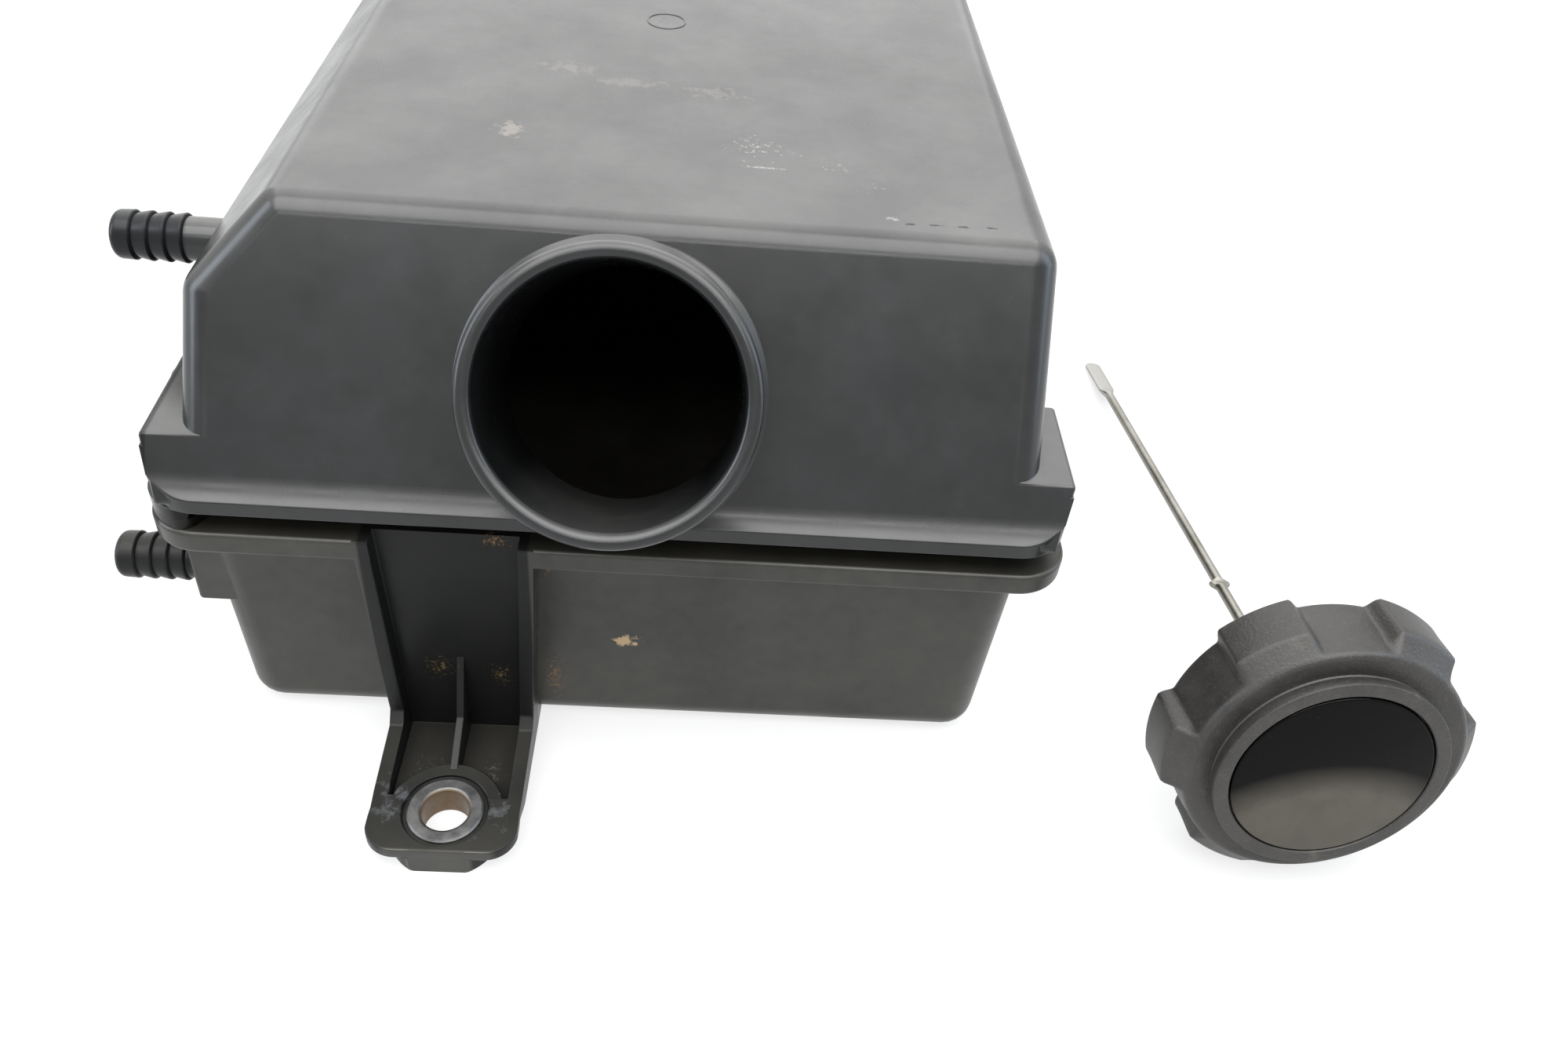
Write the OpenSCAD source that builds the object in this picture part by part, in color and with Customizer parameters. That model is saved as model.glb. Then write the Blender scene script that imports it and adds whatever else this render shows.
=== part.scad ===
// Dry-sump oil tank: two welded plastic shells with a sloped front, a filler neck square to that
// slope, a hose barb on each shell and a bolt tab moulded on the lower one. The lobed cap lies
// beside the tank with its dipstick, as it does when the oil is being filled.
// Millimetres. +Z is up, +Y runs from the neck end to the rear, and the origin is the centre of
// the tab's bolt hole on the plane that the tank stands on.

/* [Tank] */
// Length of the weld flange, front to rear
tank_l = 220; // [180:5:300]
// Width of the weld flange
flange_w = 168; // [160:1:190]
// Height of the tank
tank_h = 107.7; // [98:0.1:130]
// Wall of both shells
wall = 2.8; // [2:0.1:4]
// Height of the lower flange's underside
lower_h = 51.6; // [46:0.1:60]
// Thickness of the lower flange
flange_t = 4.8; // [3:0.1:7]
// Height of the weld groove between the flanges
groove_h = 4.6; // [3:0.1:7]
// Thickness of the upper flange at its edge
lip_t = 3; // [2:0.1:4]
// Corner radius of the flanges
flange_r = 11.5; // [6:0.5:16]
// Depth of the weld groove
groove_d = 3; // [1.5:0.1:4]

/* [Upper shell] */
// Width of the upper shell above the ledges
upper_w = 148; // [138:1:152]
// Lean of the sloped front from upright, in degrees
lean = 33; // [25:1:40]
// Radius of the long edges and the sloped front's edges
edge_r = 6; // [3:0.5:9]
// Width of the chamfer along the top left edge
chamfer_w = 12.3; // [6:0.1:18]
// Narrowing of each side, in degrees
taper = 0.9; // [0:0.1:2]
// Height of the ledges' top
ledge_z = 73; // [70:0.5:80]
// Width over the two ledges
ledge_w = 165; // [160:1:172]
// Length of the ledges, from the flange's front edge
ledge_l = 31; // [24:1:45]

/* [Lower shell] */
// Width of the lower shell under its flange
lower_w = 150.6; // [140:0.2:156]
// Distance of the lower shell's front from the flange's edge
lower_setback = 6.5; // [4:0.1:10]
// Draft of the lower shell's walls, in degrees
draft = 2; // [1:0.1:4]
// Radius of the lower shell's corners and bottom edges
bottom_r = 6.5; // [3:0.5:10]

/* [Filler neck] */
// Outer radius of the neck
neck_r = 23.6; // [20:0.1:25]
// Wall of the neck
neck_wall = 2.8; // [2:0.1:4]
// Length of the neck out of the sloped front
neck_l = 31.5; // [24:0.5:40]
// Distance of the neck's axis up the slope from its foot
neck_up = 20.8; // [20:0.1:26]
// Fillet round the neck's foot
neck_fillet = 2; // [1:0.5:3]

/* [Hose barbs] */
// Radius of a barb's crests
barb_r = 4.6; // [4:0.1:7]
// Radius between the crests
barb_root = 4.05; // [3.5:0.05:6]
// Radius of the way through a barb
barb_bore = 2.8; // [2.2:0.1:3.2]
// Distance between two crests
barb_pitch = 3.07; // [2.5:0.01:4]
// Number of crests
barb_n = 4; // [2:1:5]
// Length of the rounded tip, up to the first crest
barb_tip = 4.1; // [3:0.1:6]
// Length of the upper barb out of the shell
vent_l = 21.2; // [18:0.1:40]
// Distance of the upper barb from the flange's front edge
vent_y = 43.8; // [36:0.2:80]
// Height of the upper barb's axis
vent_z = 89.5; // [82:0.1:92]
// Distance of the lower barb from the flange's front edge
feed_y = 13; // [13:0.2:40]
// Height of the lower barb's axis
feed_z = 37.8; // [24:0.1:42]
// How far the lower barb's block stands out of the shell
feed_block = 5.2; // [3:0.1:9]
// Length of the lower barb out of its block
feed_l = 14.9; // [14:0.1:40]

/* [Bolt tab] */
// Radius of the limiter's hole, for an M8 bolt
bolt_r = 4.5; // [3.4:0.1:5.5]
// Distance of the bolt hole to the left of the tank's middle
bolt_x = 30.8; // [20:0.2:50]
// Distance of the bolt hole in front of the flange
bolt_y = 21; // [19:0.2:30]
// Height of the tab's face over the plane the tank stands on
tab_h = 6.8; // [5.5:0.1:10]
// Width of the tab at the bolt hole
tab_w = 27.6; // [25:0.1:36]
// Distance from the bolt hole to the tab's front edge
tab_nose = 9.5; // [8.5:0.1:10.4]
// Thickness of the tab's ribs
rib_t = 2.9; // [2:0.1:4]
// Radius of the spacer boss round the bolt hole
boss_r = 11; // [10.5:0.1:12.5]

/* [Cap and dipstick] */
// Radius over the cap's lobes
lobe_r = 30.2; // [30:0.1:36]
// Radius of the cap between its lobes
grip_r = 27.5; // [27.3:0.1:29.5]
// Number of lobes
lobe_n = 6; // [4:1:8]
// Height of the cap
cap_h = 17.5; // [16:0.5:24]
// Radius of the disc in the cap's face
disc_r = 19; // [16:0.1:20]
// Length of the dipstick past the cap's face
stick_l = 178.8; // [140:0.2:190]
// Radius of the dipstick's wire
stick_r = 1.2; // [1:0.05:1.6]

/* [Hidden] */
$fn = 64;
// Overlap that makes joined shapes one solid and cuts clear through
eps = 0.05;
// A length past the whole tank, for half spaces
far = 400;
// Least radius left on an inner corner
least_r = 0.6;

// Heights of the weld
lower_top = lower_h + flange_t;
weld_z = lower_top + groove_h / 2;
upper_z = lower_top + groove_h;
lip_z = upper_z + lip_t;

// Half widths, and the walls' places front and rear
lower_half = lower_w / 2;
upper_half = upper_w / 2;
flange_half = flange_w / 2;
ledge_half = ledge_w / 2;
near_y = lower_setback + wall;
rear_y = tank_l - lower_setback;
neck_bore = neck_r - neck_wall;

// The sloped front's foot, where its concave fillet starts. The fillet's centre stands
// fillet_drop over the flange's edge.
front_fillet = 6.4;
fillet_drop = 5.9;
foot_y = front_fillet * cos(lean) - sqrt(front_fillet ^ 2 - fillet_drop ^ 2);
foot_z = lip_z + fillet_drop - front_fillet * sin(lean);

// Ledges: their foot is narrower than their top and sinks into the flange
ledge_foot = ledge_half - 2.3;
ledge_sink = 0.6;
ledge_edge = 0.8;
ledge_corner = 1.5;

// Along the left side the weld nearly fills its groove, and round the left front corner the
// groove deepens between these two places across the front
shut_d = 0.5;
shut_x = 77;
open_x = 70;

// The cap's stations behind its face
rim_r = disc_r + 3.2;
rim_h = 3.2;
rim_step = 0.8;
rim_edge = 0.5;
chamfer_h = 7.7;
lobe_edge = 0.8;
web_z = 5.6;
// Each lobe's half width and flanks, and where the first one stands, in degrees
lobe_half = 15;
lobe_phase = 3;
flank = 7;
// The disc in the cap's face
disc_seat = 1.7;
disc_gap = 0.3;
disc_edge = 0.4;
dome = 0.9;
// The skirt slides over the neck, whose lip presses on the gasket
cap_fit = 1.6;
skirt_bore = neck_r + cap_fit;
gasket_t = 1.6;
gasket_clear = 0.2;
gasket_lap = 1.4;
// The stud that holds the dipstick, and how far the wire goes into the cap's face
stud_r = stick_r + 2.6;
stud_l = 9;
stick_grip = 0.8;

// The dipstick's stations behind the cap's face
ear_at = 63;
ear_r = 0.9;
ear_x = 1.45;
ear_t = 1;
paddle_l = 21;
paddle_w = 4.3;
paddle_t = 1;
paddle_neck = 3;

// Where the cap lies: on two lobes and on the dipstick's tip, with its face to the front
cap_x = 134.9;
cap_y = -24.1;
cap_turn = 1.4;
rest_r = lobe_r * cos(lobe_half - lobe_phase) + 0.02;
rest_l = stick_l - cap_h;
cap_tilt = acos((paddle_t / 2) / sqrt(rest_r ^ 2 + rest_l ^ 2)) - atan2(rest_l, rest_r);
cap_z = rest_r * cos(cap_tilt) + cap_h * sin(cap_tilt);

// Outline helpers

// Points of an outline whose corner i is rounded with radius rs[i]
function rounded(pts, rs, n = 6) = [
    for (i = [0 : len(pts) - 1])
        let (p = pts[i],
             a = unit(pts[(i + len(pts) - 1) % len(pts)] - p),
             b = unit(pts[(i + 1) % len(pts)] - p),
             half = acos(a * b) / 2,
             r = rs[i])
        each r <= 0 ? [p] : corner_arc(p, a, b, half, r, n)
];

function unit(v) = v / norm(v);

// Arc of radius r that touches both arms a and b of the corner p
function corner_arc(p, a, b, half, r, n) =
    let (centre = p + unit(a + b) * r / sin(half),
         start = p + a * r / tan(half) - centre,
         side = a[0] * b[1] - a[1] * b[0] > 0 ? -1 : 1,
         sweep = 180 - 2 * half)
    [for (k = [0 : n]) centre + turned(start, side * sweep * k / n)];

function turned(v, t) = [v[0] * cos(t) - v[1] * sin(t), v[0] * sin(t) + v[1] * cos(t)];

// Depth of the sloped front at a height, for a wall moved in by d
function slope_y(z, d = 0) = foot_y + (z - foot_z) * tan(lean) + d / cos(lean);

// An outline in X and Z, carried along Y from y0 to y1
module along_y(y0, y1) {
    translate([0, y1, 0])
        rotate([90, 0, 0])
            linear_extrude(y1 - y0)
                children();
}

// An outline in Y and Z, carried along X from x0 to x1
module along_x(x0, x1) {
    translate([x0, 0, 0])
        rotate([90, 0, 90])
            linear_extrude(x1 - x0)
                children();
}

// A flat ring blank of the flange's outline, moved in by d
module flange_blank(z0, z1, d = 0) {
    corner = max(flange_r - d, 0.6);
    translate([0, 0, z0])
        linear_extrude(z1 - z0)
            polygon(rounded([[-flange_half + d, d], [flange_half - d, d],
                             [flange_half - d, tank_l - d], [-flange_half + d, tank_l - d]],
                            [corner, corner, corner, corner], 8));
}

// Puts its children on the sloped front: X across, Z up the slope, and -Y out of it
module on_slope() {
    translate([0, foot_y, foot_z])
        rotate([-lean, 0, 0])
            children();
}

// Moves the tank's own middle frame so that the bolt hole is the origin
module at_bolt() {
    translate([bolt_x, bolt_y, 0])
        children();
}

// The welded ring, set back under the edges of the flanges and nearly flush on the left
module weld_ring(z0, z1) {
    flange_blank(z0, z1, groove_d);
    intersection() {
        flange_blank(z0, z1, shut_d);
        translate([0, 0, z0])
            linear_extrude(z1 - z0)
                polygon([[-flange_half, -1], [-shut_x, -1], [-open_x, groove_d + shut_d],
                         [-open_x, flange_r], [-lower_half, flange_r], [-lower_half, tank_l - flange_r],
                         [-flange_half, tank_l - flange_r]]);
    }
}

// Upper shell

// The tall body above the weld, its walls moved in by d. Its front goes straight down where the
// slope would run out past the lower shell's wall.
module upper_form(d) {
    half = upper_half - d;
    top = tank_h - d;
    low = weld_z - d;
    rear = rear_y - d;
    r = max(edge_r - d, least_r);
    cut = chamfer_w + d * (sqrt(2) - 2);
    front = d > 0 ? near_y : slope_y(low);
    knee_z = max(low + eps, foot_z + (front - foot_y - d / cos(lean)) / tan(lean));
    // Half widths of the plan at its two ends, on the planes of the tapered sides
    wide = half + far / 4 * tan(taper);
    slim = half - rear * tan(taper);
    intersection() {
        translate([half, 0, 0])
            rotate([0, 0, taper])
                along_y(-far / 4, far)
                    polygon(rounded([[0, low], [0, top], [-far, top], [-far, low]], [0, r, 0, 0]));
        translate([-half, 0, 0])
            rotate([0, 0, -taper])
                along_y(-far / 4, far)
                    polygon(rounded([[0, low], [far, low], [far, top], [cut, top], [0, top - cut]],
                                    [0, 0, 0, r, r]));
        along_x(-far / 2, far / 2)
            polygon(rounded([[front, low], [front, knee_z], [slope_y(top, d), top], [rear, top],
                             [rear, low]], [0, 0, r, r, 0]));
        on_slope()
            translate([0, 0, -far / 4])
                linear_extrude(far)
                    polygon(rounded([[-half, d], [half, d], [half, far], [-half, far]],
                                    [r, r, 0, 0]));
        translate([0, 0, low])
            linear_extrude(top - low)
                polygon(rounded([[-wide, -far / 4], [wide, -far / 4], [slim, rear], [-slim, rear]],
                                [0, 0, r, r]));
    }
}

// The ledges that widen the foot of the sloped front
module ledge_form(d) {
    half = ledge_half - d;
    foot = ledge_foot - d;
    top = ledge_z - d;
    low = lip_z - ledge_sink;
    rear = ledge_l - d;
    intersection() {
        along_y(-far / 4, rear)
            polygon(rounded([[-foot, low], [foot, low], [foot, lip_z], [half, top], [-half, top],
                             [-foot, lip_z]],
                            [0, 0, 0, ledge_edge, ledge_edge, 0], 3));
        on_slope()
            translate([-far / 2, d, -far / 4])
                cube([far, far, far]);
        translate([0, 0, low - eps])
            linear_extrude(top - low + 2 * eps)
                polygon(rounded([[-half, -far / 4], [half, -far / 4], [half, rear], [-half, rear]],
                                [0, 0, ledge_corner, ledge_corner], 4));
    }
}

// Concave fillet from the sloped front onto the flange's edge, cut to the flange's outline
module front_sweep() {
    centre_y = foot_y - front_fillet * cos(lean);
    centre_z = lip_z + fillet_drop;
    intersection() {
        difference() {
            along_x(-flange_half, flange_half)
                polygon([[0, upper_z + eps], [foot_y + wall, upper_z + eps],
                         [foot_y + wall, foot_z], [foot_y, foot_z], [0, foot_z]]);
            translate([-far / 2, centre_y, centre_z])
                rotate([0, 90, 0])
                    cylinder(r = front_fillet, h = far);
        }
        flange_blank(upper_z, foot_z + 1);
        // It ends on the planes of the ledges' sides
        along_y(-1, foot_y + wall + 1)
            polygon([[-ledge_foot, upper_z], [ledge_foot, upper_z], [ledge_foot, lip_z],
                     [ledge_half, ledge_z], [-ledge_half, ledge_z], [-ledge_foot, lip_z]]);
    }
}

// Neck wall, lip and foot fillet, turned about the neck's axis. z runs out of the slope.
module neck_form() {
    lip = neck_wall / 2;
    root = -wall - 1;
    rotate_extrude()
        polygon(concat(
            [[neck_bore, root], [neck_r, root]],
            [for (t = [0 : 15 : 90]) [neck_r + neck_fillet * (1 - sin(t)), neck_fillet * (1 - cos(t))]],
            [for (t = [0 : 22.5 : 180]) [neck_r - lip + lip * cos(t), neck_l - lip + lip * sin(t)]]
        ));
}

module on_neck() {
    on_slope()
        translate([0, 0, neck_up])
            rotate([90, 0, 0])
                children();
}

// Steep face behind each crest of a barb, and the rounding of its tip
crest_t = 0.35;
tip_round = [[0.35, 1.9], [0.85, 0.6], [1.4, 0]];

// One hose barb along +Z, from its seat at z = 0 to its tip. The steep faces look to the tank.
module barb(reach) {
    first = reach - barb_tip;
    rotate_extrude()
        polygon(concat(
            [[barb_bore, -2 * wall], [barb_root, -2 * wall]],
            [for (k = [barb_n - 1 : -1 : 0])
                let (z = first - k * barb_pitch)
                each [[barb_root, z], [barb_r, z + crest_t]]],
            [for (p = tip_round) [barb_r - p[0], reach - p[1]]],
            [[barb_bore, reach]]
        ));
}

// Puts a barb on the tank's left side, pointing to -X, with its seat at x
module on_left(x, y, z) {
    translate([x, y, z])
        rotate([0, -90, 0])
            children();
}

vent_seat = vent_y * tan(taper) - upper_half;
feed_seat = -lower_half - feed_block;

module upper_shell() {
    color("#3a3b3c") at_bolt() difference() {
        union() {
            upper_form(0);
            ledge_form(0);
            flange_blank(upper_z, lip_z);
            front_sweep();
            weld_ring(weld_z, upper_z + eps);
            on_neck() neck_form();
            on_left(vent_seat, vent_y, vent_z) barb(vent_l);
        }
        upper_form(wall);
        ledge_form(wall);
        on_neck()
            translate([0, 0, -wall - 2])
                cylinder(r = neck_bore, h = neck_l + wall + 3);
        on_left(vent_seat, vent_y, vent_z)
            translate([0, 0, -3 * wall])
                cylinder(r = barb_bore, h = vent_l + 4 * wall, $fn = 32);
    }
}

// Lower shell

// Thin slice of the drafted tub at a height, moved in by d
module lower_slice(z, d) {
    drafted = d + (lower_h - z) * tan(draft);
    half = lower_half - drafted;
    near = lower_setback + drafted;
    rear = tank_l - near;
    r = max(bottom_r - d, least_r);
    translate([0, 0, z])
        linear_extrude(eps)
            polygon(rounded([[-half, near], [half, near], [half, rear], [-half, rear]],
                            [r, r, r, r]));
}

// The tub under the flange, its walls moved in by d, up to a height
module lower_form(d, top) {
    r = max(bottom_r - d, least_r);
    hull() {
        for (t = [0 : 18 : 90])
            lower_slice(d + r * (1 - sin(t)), d + r * (1 - cos(t)));
        lower_slice(top - eps, d);
    }
}

// Tab: half its width at the bend, and the lean of its ribs out towards the flange
tab_half = tab_w / 2;
tab_spread = 0.5;
tab_flare = 0.9;
tab_lean = 2.25;
// Rear ends inside the shell's wall and bottom
tab_root = lower_setback + lower_h * tan(draft) + bottom_r;
tab_low = 0.2;
// Back of the channel, its floor's top at the two ends, and the bend of the ribs' tops
channel_y = 3.8;
channel_low = 2;
channel_high = 3.2;
channel_skin = 1.6;
bend_y = -2.2;
bend_rise = 1.2;
front_rise = 3.4;
// Solid nose: its thickness, its corners, and how far it reaches behind the bolt's axis
plate_t = 2.6;
nose_r = 6.8;
plate_reach = 3;
boss_reach = 5.6;
boss_fillet = 1.6;
// Gusset between the channel's back and the boss
gusset_t = 1.5;
gusset_top = 22.9;
gusset_knee = [-1.9, 11];
gusset_end = 9.4;

nose_y = -bolt_y - tab_nose;
// A half width past the tab's own
past = 50;

// Front outline of the tab, upright up to the bend and leaning out above, moved in by d
module tab_front(d) {
    bend_z = tab_h + bend_rise;
    low = tab_half + tab_spread - d;
    high_z = lower_top + (d > 0 ? 1 : 0);
    high = low + (high_z - bend_z) * tan(tab_lean);
    polygon([[-low, -d], [low, -d], [low, bend_z], [high, high_z], [-high, high_z], [-low, bend_z]]);
}

// Tab before its channel is cut: flush with the flange, then bent forward to the nose
module tab_block() {
    wide = tab_half + tab_flare;
    intersection() {
        along_x(-past, past)
            polygon([[tab_root, lower_top], [0, lower_top], [0, tab_h + front_rise],
                     [bend_y, tab_h + bend_rise], [-bolt_y, tab_h], [nose_y - 1, tab_h],
                     [nose_y - 1, tab_h - plate_t], [-bolt_y, tab_h - plate_t],
                     [-bolt_y + boss_reach, channel_high - channel_skin], [tab_root, tab_low]]);
        along_y(nose_y - 1, tab_root + 1)
            tab_front(0);
        linear_extrude(lower_top + 1)
            polygon(rounded([[-tab_half, nose_y], [tab_half, nose_y], [tab_half, -bolt_y],
                             [wide, -1], [past, -1], [past, tab_root + 1],
                             [-past, tab_root + 1], [-past, -1], [-wide, -1], [-tab_half, -bolt_y]],
                            [nose_r, nose_r, 0, 0, 0, 0, 0, 0, 0, 0], 8));
    }
}

// Channel between the ribs, open in front and through the flange above
module tab_pocket() {
    high_z = lower_top + 1;
    intersection() {
        along_x(-past, past)
            polygon([[-bolt_y + plate_reach, high_z], [-bolt_y + plate_reach, channel_high],
                     [-bolt_y + boss_reach, channel_high], [channel_y, channel_low],
                     [channel_y, high_z]]);
        along_y(-bolt_y, channel_y + 1)
            tab_front(rib_t);
    }
}

// Spacer boss round the bolt hole, down to the ground, with its fillet under the nose
module tab_boss() {
    under = tab_h - plate_t;
    intersection() {
        translate([0, -bolt_y, 0]) {
            cylinder(r = boss_r, h = tab_h);
            intersection() {
                rotate_extrude()
                    polygon(concat(
                        [for (t = [0 : 15 : 90]) [boss_r + boss_fillet * (1 - cos(t)),
                                                  under - boss_fillet * (1 - sin(t))]],
                        [[boss_r + boss_fillet, under + eps], [boss_r - 1, under + eps],
                         [boss_r - 1, under - boss_fillet]]
                    ));
                translate([-past, plate_reach - 0.5 - far, 0])
                    cube([2 * past, far, tab_h]);
            }
        }
        translate([-past, nose_y, -1])
            cube([2 * past, far, far]);
    }
}

// Thin gusset from the channel's back to the boss
module tab_gusset() {
    along_x(-gusset_t / 2, gusset_t / 2)
        polygon([[channel_y + 1, gusset_top], gusset_knee, [-bolt_y + gusset_end, tab_h],
                 [-bolt_y + gusset_end, channel_low], [channel_y + 1, channel_low]]);
}

// Block that stands out of the left wall and carries the lower barb
block_half = 6.2;
block_drop = 6.4;

module feed_pad() {
    translate([feed_seat, feed_y - block_half, feed_z - block_drop])
        cube([feed_block + wall, 2 * block_half, lower_h - feed_z + block_drop + eps]);
}

module lower_shell() {
    color("#46463f") at_bolt() difference() {
        union() {
            difference() {
                union() {
                    lower_form(0, lower_h + eps);
                    flange_blank(lower_h, lower_top);
                    translate([-bolt_x, 0, 0])
                        tab_block();
                }
                translate([-bolt_x, 0, 0])
                    tab_pocket();
            }
            translate([-bolt_x, 0, 0]) {
                tab_boss();
                tab_gusset();
            }
            weld_ring(lower_top - eps, weld_z);
            feed_pad();
            on_left(feed_seat, feed_y, feed_z) barb(feed_l);
        }
        lower_form(wall, weld_z + 1);
        translate([-bolt_x, -bolt_y, -1])
            cylinder(r = limiter_r, h = tab_h + 2);
        translate([-bolt_x, -bolt_y, tab_h - ring_depth])
            cylinder(r = limiter_r + ring_w, h = ring_depth + 1);
        on_left(feed_seat, feed_y, feed_z)
            translate([0, 0, -feed_block - 4 * wall])
                cylinder(r = barb_bore, h = feed_l + feed_block + 5 * wall, $fn = 32);
    }
}

// Steel compression limiter, seated in the boss inside a shallow ring
limiter_wall = 2.8;
limiter_r = bolt_r + limiter_wall;
limiter_clear = 0.02;
limiter_lip = 0.6;
ring_w = 0.9;
ring_depth = 1;

module compression_limiter() {
    outer = limiter_r - limiter_clear;
    color("#8f9092")
        rotate_extrude()
            polygon(concat(
                [[bolt_r, 0], [outer, 0], [outer, tab_h]],
                [for (t = [0 : 15 : 90]) [bolt_r + limiter_lip * (1 - sin(t)),
                                          tab_h - limiter_lip * (1 - cos(t))]]
            ));
}

// Cap and dipstick, in the cap's own frame: z = 0 is its face and the stick runs to -Z

module at_cap() {
    at_bolt()
        translate([cap_x, cap_y, cap_z])
            rotate([90 - cap_tilt, 0, cap_turn])
                children();
}

// How far a lobe stands out at an angle: 1 on a lobe, 0 between two, eased over the flanks
function lobe_at(t) =
    let (pitch = 360 / lobe_n,
         off = abs((t - lobe_phase + pitch / 2) % pitch - pitch / 2),
         s = min(max((lobe_half - off) / flank, 0), 1))
    s * s * (3 - 2 * s);

module lobed_outline() {
    steps = 144;
    polygon([for (k = [0 : steps - 1])
        let (t = k * 360 / steps + 360, r = grip_r + (lobe_r - grip_r) * lobe_at(t))
        [r * cos(t), r * sin(t)]]);
}

// Side profile that bounds the lobes: a plain rim at the face, a chamfer, then the full lobes
module grip_profile() {
    rotate_extrude()
        polygon([[0, -cap_h], [lobe_r - lobe_edge, -cap_h], [lobe_r + eps, lobe_edge - cap_h],
                 [lobe_r + eps, -rim_h - chamfer_h], [grip_r - rim_step, -rim_h],
                 [rim_r, rim_step - rim_h], [rim_r, -rim_edge], [rim_r - rim_edge, 0], [0, 0]]);
}

module cap_grip() {
    color("#2c2c2d") at_cap() difference() {
        intersection() {
            translate([0, 0, -cap_h])
                linear_extrude(cap_h)
                    lobed_outline();
            grip_profile();
        }
        translate([0, 0, -disc_seat])
            cylinder(r = disc_r + disc_gap, h = disc_seat + 1);
        difference() {
            translate([0, 0, -cap_h - 1])
                cylinder(r = skirt_bore, h = cap_h + 1 - web_z);
            translate([0, 0, -web_z - stud_l])
                cylinder(r = stud_r, h = stud_l + 1);
        }
        translate([0, 0, -cap_h])
            cylinder(r = stick_r, h = cap_h - web_z + stick_grip, $fn = 32);
    }
}

// Glossy domed disc that snaps into the cap's face
module cap_disc() {
    color("#101112") at_cap()
        translate([0, 0, -disc_seat])
            rotate_extrude()
                polygon(concat(
                    [[0, 0], [disc_r, 0]],
                    [for (t = [0 : 30 : 90]) [disc_r - disc_edge * (1 - cos(t)),
                                              disc_seat - disc_edge * (1 - sin(t))]],
                    [for (k = [5 : -1 : 0]) [(disc_r - disc_edge) * k / 6,
                                             disc_seat + dome * (1 - (k / 6) ^ 2)]]
                ));
}

// Flat rubber ring that the neck's lip presses on
module cap_gasket() {
    color("#1b1b1c") at_cap()
        translate([0, 0, -web_z - gasket_t])
            difference() {
                cylinder(r = skirt_bore - gasket_clear, h = gasket_t);
                translate([0, 0, -1])
                    cylinder(r = neck_bore - gasket_lap, h = gasket_t + 2);
            }
}

// Round steel wire: its end is held in the cap's stud, it has two staked ears and a flat tip
module dipstick() {
    paddle_z = paddle_l - stick_l;
    color("#b4b4b0") at_cap() {
        translate([0, 0, paddle_z])
            cylinder(r = stick_r, h = stick_grip - web_z - paddle_z, $fn = 32);
        translate([0, 0, paddle_z - paddle_neck])
            cylinder(r1 = paddle_t / 2, r2 = stick_r, h = paddle_neck + eps, $fn = 32);
        translate([0, paddle_t / 2, 0])
            rotate([90, 0, 0])
                linear_extrude(paddle_t)
                    polygon(rounded([[-paddle_w / 2, -stick_l], [paddle_w / 2, -stick_l],
                                     [paddle_w / 2, paddle_z - paddle_neck], [stick_r, paddle_z],
                                     [-stick_r, paddle_z], [-paddle_w / 2, paddle_z - paddle_neck]],
                                    [1, 1, 1, 0, 0, 1], 4));
        for (side = [-1, 1])
            translate([side * ear_x, ear_t / 2, -ear_at])
                rotate([90, 0, 0])
                    cylinder(r = ear_r, h = ear_t, $fn = 24);
    }
}

upper_shell();
lower_shell();
compression_limiter();
cap_grip();
cap_disc();
cap_gasket();
dipstick();
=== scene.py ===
from itertools import combinations
from math import acos, atan2, cos, pi, radians, sin, sqrt, tan

import bmesh
import bpy
import numpy as np
from mathutils import Matrix, Vector


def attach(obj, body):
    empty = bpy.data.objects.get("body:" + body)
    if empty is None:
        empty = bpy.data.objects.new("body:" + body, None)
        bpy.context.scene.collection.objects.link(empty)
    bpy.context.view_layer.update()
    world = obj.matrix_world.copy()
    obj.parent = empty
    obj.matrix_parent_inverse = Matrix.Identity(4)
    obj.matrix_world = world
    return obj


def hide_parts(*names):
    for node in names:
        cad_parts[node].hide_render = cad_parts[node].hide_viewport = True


# Looks of the oil tank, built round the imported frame. Shapes are worked out in millimetres in the
# tank's own middle frame: x = 0 at its middle, y = 0 at the flange's front edge, z = 0 on the
# ground. One function turns them to metres in the frame of the part.
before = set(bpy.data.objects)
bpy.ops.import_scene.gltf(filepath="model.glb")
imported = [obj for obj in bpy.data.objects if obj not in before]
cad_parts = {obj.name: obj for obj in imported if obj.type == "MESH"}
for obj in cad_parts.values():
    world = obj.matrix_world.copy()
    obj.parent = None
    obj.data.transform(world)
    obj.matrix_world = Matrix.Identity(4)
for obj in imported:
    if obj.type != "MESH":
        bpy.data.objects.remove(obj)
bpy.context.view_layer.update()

MM = 0.001
BOLT = np.array([30.8, 21.0, 0.0])

# Tank
FLANGE_HALF = 84.0
FLANGE_R = 9.5
LIP_HALF = 82.6
TANK_L = 220.0
TANK_H = 107.7
WALL = 2.8
LOWER_H = 51.6
LOWER_TOP = 56.4
WELD_Z = 58.7
UPPER_Z = 61.0
LIP_Z = 64.0
LIP_EDGE = 0.55
REAR_Y = 213.5
GROOVE_D = 6.0
SHUT_D = 0.5
LUMP_AT = (-83.8, 37.5)
LUMP_R = 4.8
SLOT_START = -77.5
SLOT_EASE = 9.0
CLOCK_AT = (1.8, 117.0)

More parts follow.
